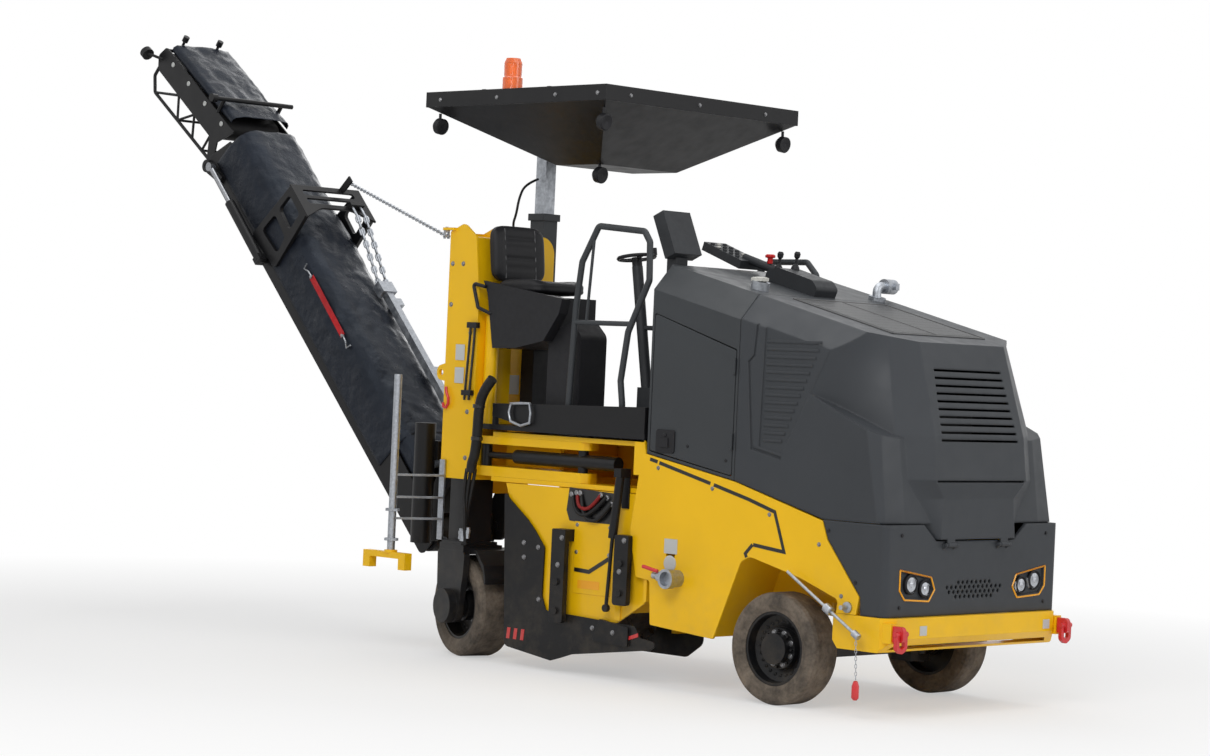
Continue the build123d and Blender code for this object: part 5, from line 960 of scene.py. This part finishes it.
cover_y = from_right("drum_housing", (-1.45, 0.62))[0].y
on_cover = (0, cover_y - PROUD, 0)
band = Solid()
band.stripe([(-1.580, 0.618), (-1.458, 0.612), (-1.300, 0.700)], 0.024, on_cover, 0.003)
band.make("cover_strap", MARKING_AND_SHADE)
plate = Solid()
plate.slab([(-1.548, 0.510), (-1.371, 0.512), (-1.371, 0.560), (-1.548, 0.558)], on_cover, X, Z, 0.0015)
plate.make("cover_plate", ORANGE)
cover_bolts = Solid()
cover_bolts.bolts(from_right("drum_housing", *((x, z) for x in (-1.570, -1.304) for z in (0.72, 0.88))), -Y,
                  HEAD)
cover_bolts.make("cover_bolts", BOLT)

GUARD_Y = -0.7598                     # just off the right edge protector's face
red = Solid()
for x in (-2.098, -2.039, -1.979):
    red.slab([(-0.016, 0.0), (0.012, 0.0), (0.020, 0.066), (-0.008, 0.066)], (x, GUARD_Y, 0.162), X, Z,
             0.0015)
red.slab([(0.0, 0.0), (0.108, 0.035), (0.105, 0.057), (-0.003, 0.020)], (-1.135, GUARD_Y, 0.238), X, Z, 0.004)
red.make("red_marks", RED, "protector_right")
guard_bolts = Solid()
guard_bolts.bolts(from_right("protector_right", (-1.997, 0.743), (-1.992, 0.657), (-1.875, 0.724),
                             (-1.853, 0.417),
                             (-1.40, 0.29), (-1.22, 0.28)), -Y, LARGE_HEAD)
guard_bolts.make("protector_bolts", BOLT, "protector_right")


# ---------------------------------------------------------------- wheels
def wheel_dress(wheel, centre, out, heading=0.0):
    """Wheel nuts and rim studs, seated on one wheel's outer face."""
    turn = Matrix.Rotation(math.radians(heading), 3, "Z")
    axis = turn @ (Y * out)
    start = Vector(centre) + axis * 0.6

    def ring(count, first, radius):
        starts = [start + turn @ (X * c + Z * s) * radius for c, s in circle(count, first)]
        hits = [seat_on("rim_" + wheel, point, -axis) for point in starts]
        return [hit for hit in hits if hit is not None]

    nuts, studs = Solid(), Solid()
    nuts.bolts(ring(8, 0.5, 0.092), axis, 0.013)
    nuts.make("nuts_" + wheel, BOLT, "wheel_" + wheel)
    for hit in ring(24, 0, 0.150):
        studs.spin([(0.010, -0.002), (0.010, 0.003), (0.006, 0.005)], hit, axis, 10)
    studs.make("rim_studs_" + wheel, BLACK, "wheel_" + wheel)


wheel_dress("front_right", (0, -0.680, 0.310), -1)
wheel_dress("front_left", (0, 0.680, 0.310), 1)
wheel_dress("rear_right", (-2.600, -0.577, 0.310), -1, heading=-14)
wheel_dress("rear_left", (-2.600, 0.577, 0.310), 1)


# ---------------------------------------------------------------- canopy
EDGE_Z, ROOF_Z = 3.405, 3.4552
canopy_bolts = Solid()
canopy_bolts.bolts(from_right("canopy_roof", *((x, EDGE_Z) for x in (-2.85, -2.35, -1.85, -1.50))), -Y, HEAD)
canopy_bolts.bolts(from_front("canopy_roof", *((y, EDGE_Z) for y in (-0.6, 0.0, 0.6))), X, HEAD)
canopy_bolts.make("canopy_bolts", BOLT, "canopy")
ribs = Solid()
for x in (-2.48, -1.92):
    ribs.box((x - 0.012, -0.800, ROOF_Z), (x + 0.012, 0.900, ROOF_Z + 0.0038))
ribs.make("canopy_ribs", BLACK, "canopy")


# ---------------------------------------------------------------- floor, light and camera
def floor_white(name, colour):
    """Pale floor that keeps the object's shadow and fades into a plain white background."""
    g = Graph(name, Roughness=1.0, Specular_IOR_Level=0.0)
    tone = g.mix(g.ramp(g.noise(0.7, 2), 0.2, 0.8), shade(colour, 0.995), colour)
    g.link(tone, g.bsdf.inputs["Base Color"])
    flat = g.add("ShaderNodeVectorMath", {0: g.coord, 1: (1, 1, 0)}, operation="MULTIPLY").outputs[0]
    far = g.add("ShaderNodeVectorMath", {0: flat}, operation="LENGTH").outputs["Value"]
    seen = g.add("ShaderNodeLightPath").outputs["Is Camera Ray"]
    glow = g.add("ShaderNodeEmission", {"Color": (1, 1, 1, 1), "Strength": 1.0})
    share = g.math("MULTIPLY", g.ramp(far, 3.2, 7.5, 0.45, 1.0), seen)
    clear = g.add("ShaderNodeMixShader", {0: share, 1: g.bsdf.outputs[0], 2: glow.outputs[0]})
    g.link(clear.outputs[0], g.nodes["Material Output"].inputs["Surface"])
    return g.material


FLOOR_SIDE = 80.0
mesh = bpy.data.meshes.new("floor")
corners = [(x * FLOOR_SIDE, y * FLOOR_SIDE, 0) for x, y in ((-1, -1), (1, -1), (1, 1), (-1, 1))]
mesh.from_pydata(corners, [], [(0, 1, 2, 3)])
mesh.materials.append(floor_white("floor_white", (0.94, 0.94, 0.94, 1)))
floor = placed("floor", mesh)
floor.location.z = -0.001

# the world lights softly, and is white to the camera, in reflections and through glass
world = bpy.data.worlds.new("studio")
bpy.context.scene.world = world
world.use_nodes = True
tree = world.node_tree
tree.nodes.clear()
path = tree.nodes.new("ShaderNodeLightPath")
direct = path.outputs["Is Camera Ray"]
for ray in ("Is Glossy Ray", "Is Transmission Ray"):
    either = tree.nodes.new("ShaderNodeMath")
    either.operation = "MAXIMUM"
    tree.links.new(direct, either.inputs[0])
    tree.links.new(path.outputs[ray], either.inputs[1])
    direct = either.outputs[0]
mixer = tree.nodes.new("ShaderNodeMixShader")
tree.links.new(direct, mixer.inputs[0])
for socket, strength in ((1, 0.36), (2, 1.0)):
    background = tree.nodes.new("ShaderNodeBackground")
    background.inputs[0].default_value = (1, 1, 1, 1)
    background.inputs[1].default_value = strength
    tree.links.new(background.outputs[0], mixer.inputs[socket])
tree.links.new(mixer.outputs[0], tree.nodes.new("ShaderNodeOutputWorld").inputs[0])


def lamp(name, place, target, size, power):
    data = bpy.data.lights.new(name, "AREA")
    data.shape = "RECTANGLE"
    data.size, data.size_y = size
    data.energy = power
    obj = placed(name, data)
    obj.location = at(*place)
    obj.rotation_mode = "QUATERNION"
    obj.rotation_quaternion = (Vector(target) - Vector(place)).to_track_quat("-Z", "Y")


lamp("key", (3.5, -9.0, 7.5), (-1.0, 0, 1.2), (6.0, 4.0), 430)
lamp("top", (-1.5, 0.0, 9.0), (-1.5, 0, 1.0), (9.0, 6.0), 250)
lamp("fill", (9.0, 2.0, 4.0), (0.0, 0, 1.2), (5.0, 5.0), 170)
lamp("back", (-9.0, 6.0, 6.0), (-2.0, 0, 1.5), (6.0, 5.0), 160)

# the photograph's camera: where it stands, which way it looks, and its tilt about that line
AZIMUTH, ELEVATION, ROLL = (math.radians(v) for v in (-45.84588, 0.29038, 2.54240))
away = Vector((math.cos(ELEVATION) * math.cos(AZIMUTH), math.cos(ELEVATION) * math.sin(AZIMUTH),
               math.sin(ELEVATION)))
level = (-away).cross(Z).normalized()
upright = level.cross(-away)
right = level * math.cos(ROLL) + upright * math.sin(ROLL)
up = upright * math.cos(ROLL) - level * math.sin(ROLL)
data = bpy.data.cameras.new("camera")
data.sensor_width = 36.0
data.lens = 86.3146
data.clip_end = 200
camera = placed("camera", data)
camera.matrix_world = (Matrix.Translation(at(10.35744, -12.85420, 1.83171))
                       @ Matrix((right, up, away)).transposed().to_4x4())
bpy.context.scene.camera = camera
bpy.context.scene.view_settings.view_transform = "Standard"
